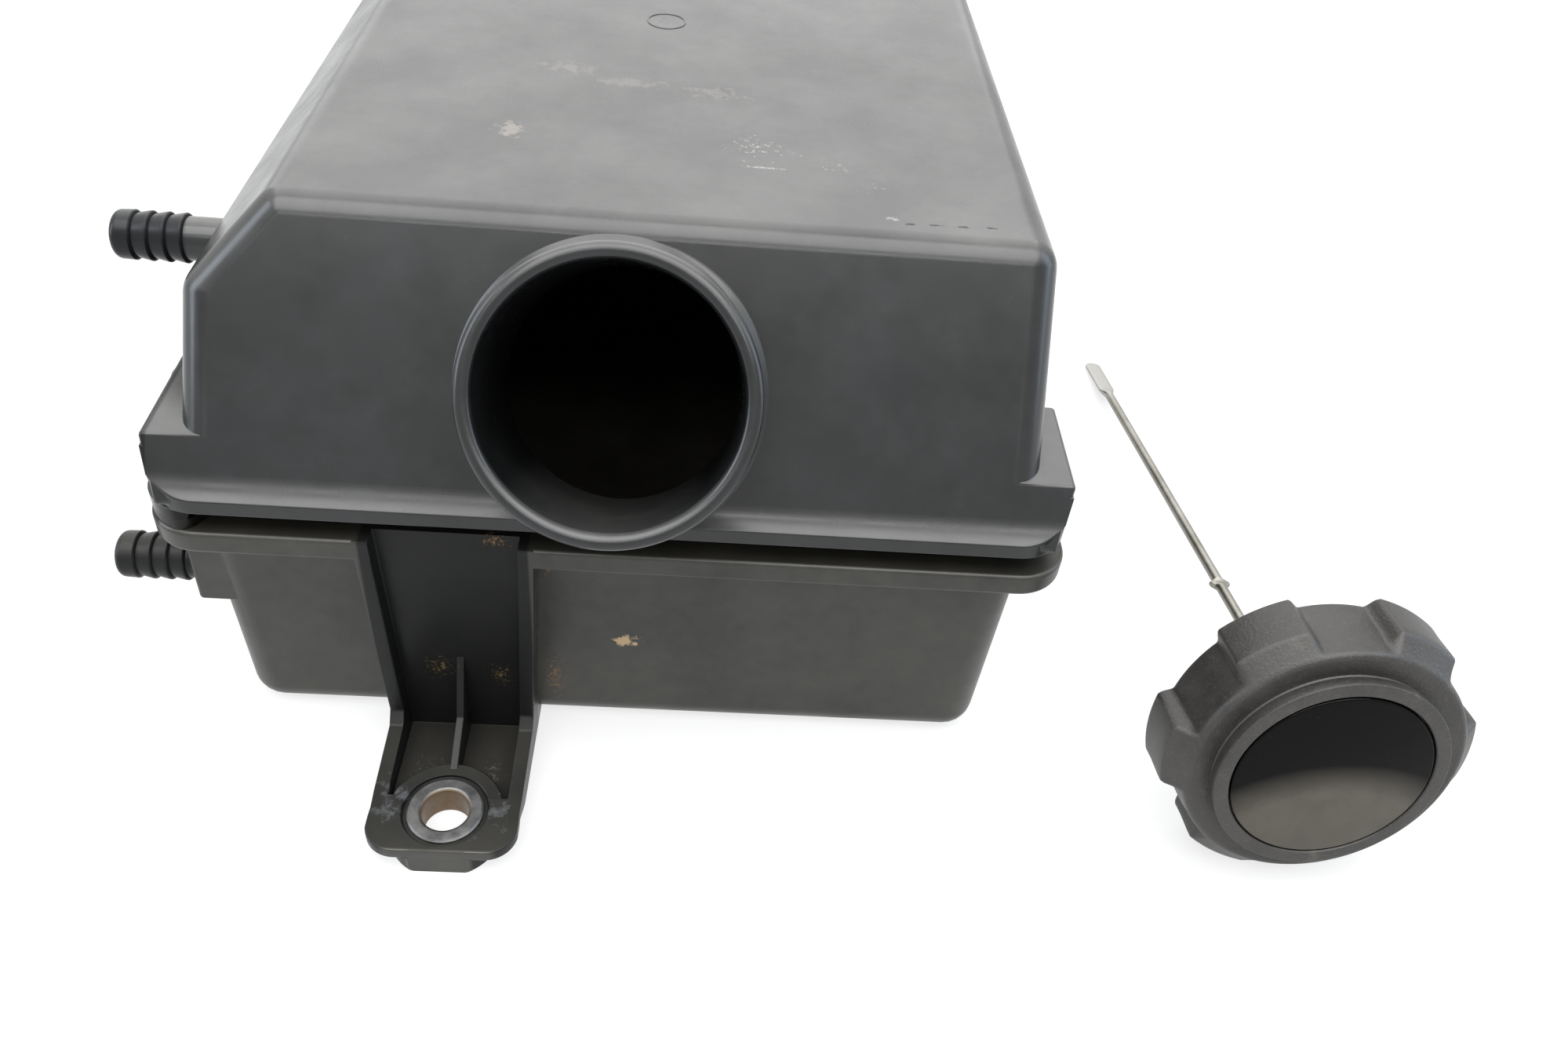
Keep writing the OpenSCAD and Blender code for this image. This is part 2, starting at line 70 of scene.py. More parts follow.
# Upper shell
UPPER_HALF = 76.7
LEAN = radians(33)
TAPER = radians(0.9)
EDGE_R = 6.0
CHAMFER = 15.1
LEDGE_TOP = 73.0
LEDGE_HALF = 82.5
LEDGE_FOOT = 80.2
LEDGE_L = 31.0
SWEEP_R = 11.8
SWEEP_DROP = 10.02
SWEEP_Y = -sqrt(SWEEP_R ** 2 - SWEEP_DROP ** 2)
SWEEP_Z = LIP_Z + SWEEP_DROP
FOOT_Y = SWEEP_Y + SWEEP_R * cos(LEAN)
FOOT_Z = SWEEP_Z - SWEEP_R * sin(LEAN)

# Lower shell
LOWER_HALF = 77.7
SETBACK = 6.5
DRAFT = radians(2)
BOTTOM_R = 6.5

# Filler neck
NECK_R = 23.55
NECK_BORE = 20.8
NECK_L = 31.5
NECK_UP = 19.385

# Hose barbs
BARB_R = 4.6
BARB_ROOT = 4.05
BARB_BORE = 2.8
BARB_PITCH = 3.07
BARB_N = 4
BARB_TIP = 4.1
# Place along the side, height and length
VENT = (43.8, 89.5, 18.5)
FEED = (13.0, 37.8, 14.9)
FEED_BLOCK = 2.8

# Bolt tab, in its own frame with the hole's middle at x = 0
TAB_X = -30.8
BOLT_Y = 21.0
TAB_H = 6.8
TAB_HALF = 13.8
RIB_T = 2.9
RIB_LEAN = radians(2.25)
PLATE_T = 2.6
NOSE_Y = -BOLT_Y - 9.5
NOSE_R = 6.0
BEND_Z = TAB_H + 1.2
BOSS_R = 11.0
LIMITER_BORE = 4.5
LIMITER_R = 7.3
RING_W = 0.9
RING_DEPTH = 1.0

# Cap and dipstick, in the cap's own frame: z = 0 is its face and the stick runs to -z
LOBE_R = 30.2
GRIP_R = 27.5
LOBES = 6
LOBE_PHASE = radians(3)
LOBE_HALF = radians(15)
LOBE_MORE = radians(2)
FLANK = radians(4.2)
CAP_H = 17.5
DISC_R = 19.0
DISC_SEAT = 1.7
WEB_Z = 5.6
SKIRT_R = 25.2
STUD_R = 3.8
STUD_L = 9.0
STICK_R = 1.2
STICK_L = 178.8
EAR_AT = 63.0
PADDLE_L = 21.0
PADDLE_W = 4.3
PADDLE_T = 1.0
CAP_AT = np.array([134.9, -24.1, 0.0])
CAP_TURN = radians(1.4)
REST_R = LOBE_R * cos(LOBE_HALF - LOBE_PHASE) + 0.02
REST_L = STICK_L - CAP_H
CAP_TILT = acos(PADDLE_T / 2 / sqrt(REST_R ** 2 + REST_L ** 2)) - atan2(REST_L, REST_R)
CAP_Z = REST_R * cos(CAP_TILT) + CAP_H * sin(CAP_TILT)


# Meshes

def quads(rows, cols, wrap_rows, wrap_cols):
    """Corner numbers of the faces between neighbouring points of a grid of rows by cols points."""
    i, j = np.meshgrid(np.arange(rows if wrap_rows else rows - 1),
                       np.arange(cols if wrap_cols else cols - 1), indexing="ij")
    below, beside = (i + 1) % rows, (j + 1) % cols
    return np.stack([i * cols + j, i * cols + beside, below * cols + beside, below * cols + j],
                    axis=-1).reshape(-1, 4)


def clean(mesh, gap, outwards=False):
    """Merges points that are closer than a gap in metres, drops faces without area, and turns the
    faces outwards where asked."""
    work = bmesh.new()
    work.from_mesh(mesh)
    bmesh.ops.remove_doubles(work, verts=work.verts, dist=gap)
    bmesh.ops.dissolve_degenerate(work, edges=work.edges, dist=gap)
    if outwards:
        bmesh.ops.recalc_face_normals(work, faces=work.faces)
    work.to_mesh(mesh)
    work.free()


def solid(name, patches, matrix=None):
    """One closed mesh from patches, each a pair of points and faces in tank millimetres. Points
    that meet are merged, and the faces are turned outwards."""
    points, faces, start = [], [], 0
    for patch_points, patch_faces in patches:
        patch_points = np.asarray(patch_points, float).reshape(-1, 3)
        points.append(patch_points)
        faces += [[start + int(k) for k in face] for face in patch_faces]
        start += len(patch_points)
    points = np.vstack(points)
    if matrix is not None:
        points = points @ matrix[:3, :3].T + matrix[:3, 3]
    mesh = bpy.data.meshes.new(name)
    mesh.from_pydata(((points + BOLT) * MM).tolist(), [], faces)
    clean(mesh, 2e-6, True)
    piece = bpy.data.objects.new(name, mesh)
    bpy.context.scene.collection.objects.link(piece)
    return piece


def loft(name, rings, matrix=None):
    """Solid whose skin runs through closed rings, an array of rings by points by xyz, with a flat
    face on the first and the last ring."""
    rings = np.asarray(rings, float)
    rows, cols = rings.shape[:2]
    ends = [list(range(cols)), list(range((rows - 1) * cols, rows * cols))]
    faces = quads(rows, cols, False, True).tolist() + ends
    return solid(name, [(rings, faces)], matrix)


def turned(name, profile, matrix=None, steps=128):
    """Profile of radius and height carried round the z axis: point = (r cos t, r sin t, z). A
    profile that starts and ends on the axis closes there, and any other is a closed loop."""
    profile = np.asarray(profile, float)
    t = np.arange(steps) * 2 * pi / steps
    r, z = profile[:, 0][:, None], profile[:, 1][:, None]
    grid = np.stack([r * np.cos(t), r * np.sin(t), z + 0 * t], axis=-1)
    on_axis = profile[0, 0] < 1e-6 and profile[-1, 0] < 1e-6
    return solid(name, [(grid, quads(len(profile), steps, not on_axis, True))], matrix)


def prism(name, outline, low, high, axes="xyz", matrix=None):
    """Outline in the first two named axes, carried along the third from low to high."""
    outline = np.asarray(outline, float)
    rings = np.zeros((2, len(outline), 3))
    order = ["xyz".index(letter) for letter in axes]
    rings[..., order[0]] = outline[:, 0]
    rings[..., order[1]] = outline[:, 1]
    rings[0, :, order[2]] = low
    rings[1, :, order[2]] = high
    return loft(name, rings, matrix)


def arc(centre, radius, start, end, steps):
    """Points of a circle's arc from one angle to another, in degrees."""
    t = np.radians(np.linspace(start, end, steps + 1))
    return np.stack([centre[0] + radius * np.cos(t), centre[1] + radius * np.sin(t)], axis=-1)


def rounded(corners, radii, steps=8):
    """Outline with each corner replaced by an arc that touches both of its sides."""
    corners = np.asarray(corners, float)
    out = []
    for k, (corner, radius) in enumerate(zip(corners, radii)):
        if radius <= 0:
            out.append(corner[None])
            continue
        a = corners[k - 1] - corner
        b = corners[(k + 1) % len(corners)] - corner
        a, b = a / np.linalg.norm(a), b / np.linalg.norm(b)
        half = np.arccos(np.clip(a @ b, -1, 1)) / 2
        centre = corner + (a + b) / np.linalg.norm(a + b) * radius / np.sin(half)
        first = corner + a * radius / np.tan(half) - centre
        side = -1 if a[0] * b[1] - a[1] * b[0] > 0 else 1
        t = side * (pi - 2 * half) * np.arange(steps + 1) / steps
        out.append(centre + np.stack([first[0] * np.cos(t) - first[1] * np.sin(t),
                                      first[0] * np.sin(t) + first[1] * np.cos(t)], axis=-1))
    return np.vstack(out)


def between(a, b, steps):
    """Unit directions in equal turns from a to b, both ends included."""
    turn = np.arccos(np.clip(a @ b, -1, 1))
    if turn < 1e-9 or steps == 0:
        return np.repeat(a[None], steps + 1, axis=0)
    t = np.linspace(0, 1, steps + 1)[:, None]
    return (np.sin((1 - t) * turn) * a + np.sin(t * turn) * b) / np.sin(turn)


def rounded_solid(name, planes, radius, steps=6):
    """Convex solid inside planes, each a direction and its distance from the origin, with every
    edge and corner rounded. Each plane moves in by the radius, which gives a sharp inner solid.
    Its faces then move out again, a cylinder strip joins each two of them and a patch of a ball
    fills each corner, where three directions are blended."""
    normals = np.array([plane[0] for plane in planes], float)
    normals /= np.linalg.norm(normals, axis=1)[:, None]
    reach = np.array([plane[1] for plane in planes], float) - radius
    count = len(planes)
    corners = []
    for trio in combinations(range(count), 3):
        sides = normals[list(trio)]
        if abs(np.linalg.det(sides)) < 1e-6:
            continue
        point = np.linalg.solve(sides, reach[list(trio)])
        if (normals @ point <= reach + 1e-6).all():
            corners.append((point, trio))
    patches = []
    for i in range(count):
        own = np.array([point for point, trio in corners if i in trio])
        if len(own) < 3:
            continue
        across = np.cross(normals[i], [0.3, 0.5, 0.8])
        across /= np.linalg.norm(across)
        up = np.cross(normals[i], across)
        middle = own.mean(axis=0)
        order = np.argsort(np.arctan2((own - middle) @ up, (own - middle) @ across))
        patches.append((own[order] + radius * normals[i], [list(range(len(own)))]))
    for i, j in combinations(range(count), 2):
        ends = [point for point, trio in corners if i in trio and j in trio]
        if len(ends) == 2:
            turn = radius * between(normals[i], normals[j], steps)
            patches.append((np.stack([ends[0] + turn, ends[1] + turn]),
                            quads(2, steps + 1, False, False)))
    for point, (i, j, k) in corners:
        left = between(normals[i], normals[j], steps)
        right = between(normals[i], normals[k], steps)
        rows = [between(left[row], right[row], row) for row in range(steps + 1)]
        starts = np.cumsum([0] + [len(row) for row in rows])
        faces = []
        for row in range(steps):
            a, b = starts[row], starts[row + 1]
            faces += [[a + col, b + col, b + col + 1] for col in range(row + 1)]
            faces += [[a + col, b + col + 1, a + col + 1] for col in range(row)]
        patches.append((point + radius * np.vstack(rows), faces))
    return solid(name, patches)


def combine(piece, operation, *tools):
    """Joins tools to a piece, cuts them out of it or keeps what they share, and removes them."""
    for tool in tools:
        change = piece.modifiers.new(operation.lower(), "BOOLEAN")
        change.operation = operation
        change.solver = "MANIFOLD"
        change.object = tool
        bake(piece)
        bpy.data.objects.remove(tool)


def bake(piece):
    """Puts a piece's modifiers into its mesh."""
    seen = piece.evaluated_get(bpy.context.evaluated_depsgraph_get())
    mesh = bpy.data.meshes.new_from_object(seen)
    piece.modifiers.clear()
    piece.data = mesh


def soften(piece, width):
    """Rounds the edges that turn by more than 25 degrees, to a width in millimetres."""
    edge = piece.modifiers.new("edges", "BEVEL")
    edge.width = width * MM
    edge.segments = 2
    edge.limit_method = "ANGLE"
    edge.angle_limit = radians(25)
    edge.use_clamp_overlap = True
    bake(piece)


def finish_piece(piece, node, material, sharp=32):
    """Makes a piece smooth up to an angle in degrees, gives it its material and lets it stand for
    its node."""
    clean(piece.data, 3e-6)
    piece.data.shade_smooth()
    piece.data.set_sharp_from_angle(angle=radians(sharp))
    even = piece.modifiers.new("even", "WEIGHTED_NORMAL")
    even.keep_sharp = True
    even.weight = 50
    piece.data.materials.clear()
    piece.data.materials.append(material)
    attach(piece, "root")
    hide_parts(node)


# Places

def matrix_of(columns, origin):
    """4 by 4 matrix from the directions of its three axes and its origin."""
    matrix = np.eye(4)
    matrix[:3, :3] = np.array(columns, float).T
    matrix[:3, 3] = origin
    return matrix


def rotation(axis, angle):
    """3 by 3 matrix of a turn about x or z."""
    c, s = cos(angle), sin(angle)
    if axis == "x":
        return np.array([[1, 0, 0], [0, c, -s], [0, s, c]])
    return np.array([[c, -s, 0], [s, c, 0], [0, 0, 1]])


# Axes on the neck: z runs out of the slope
OUT = np.array([0.0, -cos(LEAN), sin(LEAN)])
UP_SLOPE = np.array([0.0, sin(LEAN), cos(LEAN)])
NECK_FOOT = np.array([0.0, FOOT_Y, FOOT_Z]) + NECK_UP * UP_SLOPE
ON_NECK = matrix_of([[1, 0, 0], UP_SLOPE, OUT], NECK_FOOT)
VENT_SEAT = VENT[0] * tan(TAPER) - UPPER_HALF
FEED_SEAT = -LOWER_HALF - FEED_BLOCK
ON_TAB = matrix_of(np.eye(3), [TAB_X, 0, 0])
ON_HOLE = matrix_of(np.eye(3), [TAB_X, -BOLT_Y, 0])


def on_left(x, y, z):
    """Axes on the tank's left side: z runs to -x, away from the tank."""
    return matrix_of([[0, 0, 1], [0, 1, 0], [-1, 0, 0]], [x, y, z])


# The cap's own axes as it lies: its face looks to the front and down a little
ON_CAP = matrix_of((rotation("z", CAP_TURN) @ rotation("x", pi / 2 - CAP_TILT)).T,
                   CAP_AT + [0, 0, CAP_Z])


def flange_outline(inset, steps, half=FLANGE_HALF):
    """Outline of the flange moved in by a distance, from the right front corner round to the
    left front one, with the outward direction at each point."""
    radius, rear = FLANGE_R, TANK_L
    points, out = [], []
    centres = [(half - radius, radius, -90), (half - radius, rear - radius, 0),
               (-half + radius, rear - radius, 90), (-half + radius, radius, 180)]
    for x, y, start in centres:
        t = np.radians(np.linspace(start, start + 90, steps + 1))
        normal = np.stack([np.cos(t), np.sin(t)], axis=-1)
        points.append(np.array([x, y]) + (radius - inset) * normal)
        out.append(normal)
    return np.vstack(points), np.vstack(out)


# Upper shell

def body_planes(inset, low):
    """Planes of the tall body above the weld, moved in by a distance: top, rear, sloped front,
    foot, two tapered sides, the chamfer along the top left edge and the underside."""
    right = np.array([cos(TAPER), sin(TAPER), 0])
    left = np.array([-cos(TAPER), sin(TAPER), 0])
    bevel = (left + [0, 0, 1]) / sqrt(2)
    bevel_at = np.array([CHAMFER - UPPER_HALF, 0, TANK_H])
    return [([0, 0, 1], TANK_H - inset), ([0, 1, 0], REAR_Y - inset),
            (OUT, OUT @ [0, FOOT_Y, FOOT_Z] - inset),
            ([0, -1, 0], -max(FOOT_Y, (SETBACK + WALL) * (inset > 0))),
            (right, UPPER_HALF * cos(TAPER) - inset), (left, UPPER_HALF * cos(TAPER) - inset),
            (bevel, bevel @ bevel_at - inset), ([0, 0, -1], -low)]


def ledge_planes(inset, low):
    """Planes of the bar that makes both ledges: its top, sloped front, rear and leaning ends."""
    lean = np.array([LEDGE_TOP - LIP_Z, 0, LEDGE_FOOT - LEDGE_HALF])
    lean = lean / np.linalg.norm(lean)
    reach = lean @ [LEDGE_FOOT, 0, LIP_Z] - inset
    return [([0, 0, 1], LEDGE_TOP - inset), ([0, 1, 0], LEDGE_L - inset),
            (OUT, OUT @ [0, FOOT_Y, FOOT_Z] - inset), (lean, reach),
            (lean * [-1, 1, 1], reach), ([0, 0, -1], -low), ([0, -1, 0], 0.0)]


def plate(name, section, half=FLANGE_HALF):
    """Flat plate of the flange's outline. Its edge follows a section of inset and height, and a
    flat face closes it above and below."""
    rings = []
    for inset, z in section:
        points, _ = flange_outline(inset, 14, half)
        rings.append(np.column_stack([points, np.full(len(points), z)]))
    return loft(name, rings)


def lip():
    """Upper flange, its edge upright and rounded above and below, and the round lump that stands
    out of its left edge behind the ledge."""
    section = np.vstack([[(0.3, UPPER_Z)], arc((0.3, UPPER_Z + 0.3), 0.3, 270, 180, 3)[1:],
                         arc((LIP_EDGE, LIP_Z - LIP_EDGE), LIP_EDGE, 180, 90, 5)])
    lump = turned("lump", [(0, UPPER_Z + 0.1), (LUMP_R - 0.6, UPPER_Z + 0.1),
                           (LUMP_R, UPPER_Z + 0.8), (LUMP_R, LIP_Z - 1.4),
                           (LUMP_R - 0.4, LIP_Z - 0.6), (LUMP_R - 1.4, LIP_Z - 0.1), (0, LIP_Z)],
                  matrix_of(np.eye(3), [*LUMP_AT, 0]), 64)
    return plate("lip", section, LIP_HALF), lump


def front_sweep():
    """Concave fillet from the sloped front to the flange's edge, carried along the outline's
    front from one ledge's end to the other. Each section runs up the flange's edge, round it,
    along the fillet's arc to the slope's foot and up the slope, and closes inside the wall."""
    corner = np.linspace(0, 1, 13)
    straight = np.linspace(-1, 1, 3) * (LIP_HALF - FLANGE_R)
    end_turn = np.arcsin((LEDGE_FOOT - LIP_HALF + FLANGE_R) / FLANGE_R)
    turn = corner * end_turn
    side_x = LIP_HALF - FLANGE_R + FLANGE_R * np.sin(turn)
    side_y = FLANGE_R * (1 - np.cos(turn))
    x = np.concatenate([-side_x[::-1], straight[1:-1], side_x])
    y = np.concatenate([side_y[::-1], [0], side_y])
    tilt = np.concatenate([-turn[::-1], [0], turn])
    out = np.stack([np.sin(tilt), -np.cos(tilt)], axis=-1)
    # Centre of the edge's rounding: inside the outline and under the fillet
    edge = LIP_EDGE
    mid = np.stack([x, y], axis=-1) - edge * out
    mid_y = np.minimum(mid[:, 1], FOOT_Y - 0.05)
    mid_z = SWEEP_Z - np.sqrt((SWEEP_R + edge) ** 2 - (mid_y - SWEEP_Y) ** 2)
    surface = np.stack([SWEEP_Y - mid_y, SWEEP_Z - mid_z], axis=-1) / (SWEEP_R + edge)
    n_edge, n_arc = 5, 10
    rise, into_wall = 3.5, 8
    rings = np.zeros((len(x), n_edge + n_arc + 5, 3))
    for k in range(len(x)):
        start = np.array([out[k, 0], out[k, 1], 0])
        end = np.array([0, surface[k, 0], surface[k, 1]])
        bend = between(start, end, n_edge)
        rings[k, 1:n_edge + 2] = [mid[k, 0], mid[k, 1], mid_z[k]] + edge * bend
        a0 = np.arctan2(-surface[k, 1], -surface[k, 0])
        t = a0 + (-LEAN - a0) * np.linspace(0, 1, n_arc + 1)[1:]
        along = slice(n_edge + 2, n_edge + 2 + n_arc)
        rings[k, along, 0] = x[k]
        rings[k, along, 1] = SWEEP_Y + SWEEP_R * np.cos(t)
        rings[k, along, 2] = SWEEP_Z + SWEEP_R * np.sin(t)
        rings[k, 0] = rings[k, 1]
        rings[k, 0, 2] = UPPER_Z + 0.4
        rings[k, -3] = [x[k], FOOT_Y + rise * tan(LEAN), FOOT_Z + rise]
        rings[k, -2] = [x[k], FOOT_Y + into_wall, FOOT_Z + rise]
        rings[k, -1] = [x[k], FOOT_Y + into_wall, UPPER_Z + 0.4]
    # The ends lean out with the ledges' sides
    past = np.clip((np.abs(x) - LIP_HALF + FLANGE_R) / (LEDGE_FOOT - LIP_HALF + FLANGE_R), 0, 1)
    slope = (LEDGE_HALF - LEDGE_FOOT) / (LEDGE_TOP - LIP_Z)
    rings[..., 0] += (np.sign(x) * past)[:, None] * slope * (rings[..., 2] - LIP_Z) * (
        rings[..., 2] > LIP_Z)
    return loft("sweep", rings)


def weld(end_z):
    """Half of the weld between the flanges, from its middle to a height. It is a plate whose edge
    is set back: nearly flush along the left side, deep from a point on the left front corner, and
    less deep at its middle, where the weld's bead stands out."""
    away = 1 if end_z > WELD_Z else -1
    levels = [(WELD_Z, 1.0), (WELD_Z + away * 0.4, 0.7), (WELD_Z + away * 0.7, 0.0), (end_z, 0.0)]
    points, out = flange_outline(0, 24)
    across = np.linspace(-1, 1, 60)[1:-1] * (FLANGE_HALF - FLANGE_R)
    points = np.vstack([points, np.column_stack([across, 0 * across])])
    out = np.vstack([out, np.tile([0.0, -1.0], (len(across), 1))])
    opened = np.clip((points[:, 0] - SLOT_START) / SLOT_EASE, 0, 1)
    opened = opened * opened * (3 - 2 * opened)
    front = points[:, 1] < FLANGE_R + 0.5
    left = points[:, 0] < -FLANGE_HALF + FLANGE_R + 2
    deep = np.where(left, np.where(front, opened, 0.0), 1.0)
    rings = []
    for z, proud in sorted(levels):
        inset = SHUT_D + (GROOVE_D - SHUT_D - proud) * deep
        rings.append(np.column_stack([points - out * inset[:, None], np.full(len(points), z)]))
    return loft("weld", rings)


def neck():
    """Filler neck: a tube with a rounded lip, a fillet at its foot and an end that reaches into
    the tank."""
    lip = WALL / 2
    profile = np.vstack([[(NECK_BORE, -7.0)], [(NECK_R, -7.0)],
                         arc((NECK_R + 2, 2), 2, 270, 180, 6),
                         arc((NECK_R - lip, NECK_L - lip), lip, 0, 180, 12)])
    return turned("neck", profile, ON_NECK)


def thread():
    """Coarse thread on the neck: a low trapezoid carried along a helix of one and a half turns,
    whose height grows from nothing and fades again."""
    turns, pitch, below_lip, steps = 1.5, 5.0, 5.5, 180
    t = np.linspace(0, 1, steps)
    angle = radians(35) + t * turns * 2 * pi
    height = np.clip(np.minimum(t, 1 - t) * 12, 0.02, 1) * 1.1
    across = np.array([-1.35, -0.45, 0.45, 1.35])
    rise = np.array([0.0, 1.0, 1.0, 0.0])
    radius = NECK_R - 0.4 + rise[None] * (height[:, None] + 0.4)
    z = NECK_L - below_lip - t[:, None] * turns * pitch + across[None]
    ring = np.stack([radius * np.cos(angle)[:, None], radius * np.sin(angle)[:, None], z], axis=-1)
    return loft("thread", ring, ON_NECK)


def barb(name, reach, matrix):
    """Hose barb: for each crest the ramp rises towards the tank and ends in a steep face that
    looks to it; the tip is rounded."""
    first = reach - BARB_TIP
    points = [(BARB_BORE, -2 * WALL), (BARB_ROOT, -2 * WALL)]
    for k in range(BARB_N - 1, -1, -1):
        z = first - k * BARB_PITCH
        points += [(BARB_ROOT, z - 0.02), (BARB_ROOT + 0.1, z), (BARB_R - 0.12, z + 0.22),
                   (BARB_R, z + 0.4), (BARB_R - 0.03, z + 0.8)]
    points += arc((BARB_R - 1.5, reach - 1.5), 1.4, 0, 90, 6).tolist()
    points += [(BARB_BORE + 0.4, reach), (BARB_BORE, reach - 0.4)]
    return turned(name, points, matrix, steps=96)


def bore_tool(radius, low, high, matrix, steps=96):
    """Plain cylinder that cuts a hole."""
    return turned("tool", [(0, low), (radius, low), (radius, high), (0, high)], matrix, steps)


def date_wheel():
    """Thin raised ring of a moulding clock on the top face."""
    profile = [(3.9, -0.3), (4.3, -0.3), (4.3, 0.08), (4.2, 0.16), (4.0, 0.16), (3.9, 0.08)]
    return turned("wheel", profile, matrix_of(np.eye(3), [*CLOCK_AT, TANK_H]), 48)


def upper_shell():
    """Upper moulding: the body, its ledges, fillet, flange and half of the weld joined, then its
    room cut out, then the neck with its thread, the barb and the clock added."""
    shell = rounded_solid("upper_shell_skin", body_planes(0, WELD_Z), EDGE_R, 8)
    combine(shell, "UNION", rounded_solid("ledges", ledge_planes(0, LIP_Z - 2), 0.8, 3),
            front_sweep(), *lip(), weld(UPPER_Z + 0.3))
    combine(shell, "DIFFERENCE",
            rounded_solid("room", body_planes(WALL, 40), EDGE_R - WALL, 4),
            rounded_solid("room_front", ledge_planes(WALL, 50), 0.5, 2),
            bore_tool(NECK_R - 0.6, -WALL - 3, 5, ON_NECK))
    seat = on_left(VENT_SEAT, VENT[0], VENT[1])
    combine(shell, "UNION", neck(), thread(), barb("vent", VENT[2], seat), date_wheel())
    combine(shell, "DIFFERENCE", bore_tool(BARB_BORE, -3 * WALL, -WALL + 2, seat))
    return shell


# Lower shell

def tub_planes(inset, top):
    """Planes of the drafted tub under the flange, moved in by a distance."""
    c, s = cos(DRAFT), sin(DRAFT)
    return [([c, 0, -s], c * LOWER_HALF - s * LOWER_H - inset),
            ([-c, 0, -s], c * LOWER_HALF - s * LOWER_H - inset),
            ([0, -c, -s], -c * SETBACK - s * LOWER_H - inset),
            ([0, c, -s], c * REAR_Y - s * LOWER_H - inset),
            ([0, 0, -1], -inset), ([0, 0, 1], top)]


def lower_flange():
    """Lower flange, with both of its edges rounded."""
    edge = 0.9
    return plate("lower_flange", np.vstack([arc((edge, LOWER_H + edge), edge, 270, 180, 5),
                                            arc((edge, LOWER_TOP - edge), edge, 180, 90, 5)]))


def tab_front(inset):
    """Front outline of the tab: upright up to the bend, then leaning out to the flange."""
    low = TAB_HALF + 0.5 - inset
    high_z = LOWER_TOP + (1 if inset > 0 else 0)
    high = low + (high_z - BEND_Z) * tan(RIB_LEAN)
    return [(-low, -inset), (low, -inset), (low, BEND_Z), (high, high_z), (-high, high_z),
            (-low, BEND_Z)]


def tab():
    """Bolt tab: a block flush with the flange, bent forward to a rounded nose, with a channel
    between its ribs, the spacer boss under its hole and a thin gusset."""
    root = SETBACK + LOWER_H * tan(DRAFT) + BOTTOM_R
    under = TAB_H - PLATE_T
    side = [(root, LOWER_TOP), (0, LOWER_TOP), (0, TAB_H + 3.4), (-2.2, BEND_Z),
            (-BOLT_Y, TAB_H), (NOSE_Y - 1, TAB_H), (NOSE_Y - 1, under),
            (-BOLT_Y, under), (-BOLT_Y + 5.6, 1.6), (root, 0.2)]
    wide, waist = TAB_HALF + 0.9, TAB_HALF + 0.4
    plan = rounded([(-wide, NOSE_Y), (wide, NOSE_Y), (waist, -BOLT_Y), (wide, -1), (50, -1),
                    (50, root + 1), (-50, root + 1), (-50, -1), (-wide, -1), (-waist, -BOLT_Y)],
                   [NOSE_R, NOSE_R] + [0] * 8, 12)
    block = prism("tab", side, -50, 50, "yzx", ON_TAB)
    combine(block, "INTERSECT", prism("front", tab_front(0), NOSE_Y - 1, root + 1, "xzy", ON_TAB),
            prism("plan", plan, -1, LOWER_TOP + 1, "xyz", ON_TAB))
    floor = [(-BOLT_Y + 3, LOWER_TOP + 1), (-BOLT_Y + 3, 3.2), (-BOLT_Y + 5.6, 3.2), (3.8, 2.0),
             (3.8, LOWER_TOP + 1)]
    pocket = prism("pocket", floor, -50, 50, "yzx", ON_TAB)
    combine(pocket, "INTERSECT", prism("mouth", tab_front(RIB_T), -BOLT_Y, 4.8, "xzy", ON_TAB))
    combine(block, "DIFFERENCE", pocket)
    soften(block, 0.35)
    foot_r = BOSS_R + 0.6
    boss = turned("boss", np.vstack([[(0, 0), (BOSS_R - 0.4, 0), (BOSS_R, 0.4), (BOSS_R, under - 0.6)],
                                     arc((foot_r, under - 0.6), 0.6, 180, 90, 5),
                                     [(foot_r, under + 0.05), (BOSS_R, under + 0.05),
                                      (BOSS_R, TAB_H - 0.35), (BOSS_R - 0.35, TAB_H), (0, TAB_H)]]),
                  ON_HOLE)
    keep = [(-50, NOSE_Y + 0.05), (50, NOSE_Y + 0.05), (50, 0), (-50, 0)]
    combine(boss, "INTERSECT", prism("keep", keep, -1, TAB_H + 1, "xyz", ON_TAB))
    gusset = prism("gusset", [(4.8, 22.9), (3.8, 22.9), (-1.9, 11), (-BOLT_Y + 9.4, TAB_H),
                              (-BOLT_Y + 9.4, 2.4), (4.8, 2.4)], -0.75, 0.75, "yzx", ON_TAB)
    soften(gusset, 0.25)
    return block, boss, gusset


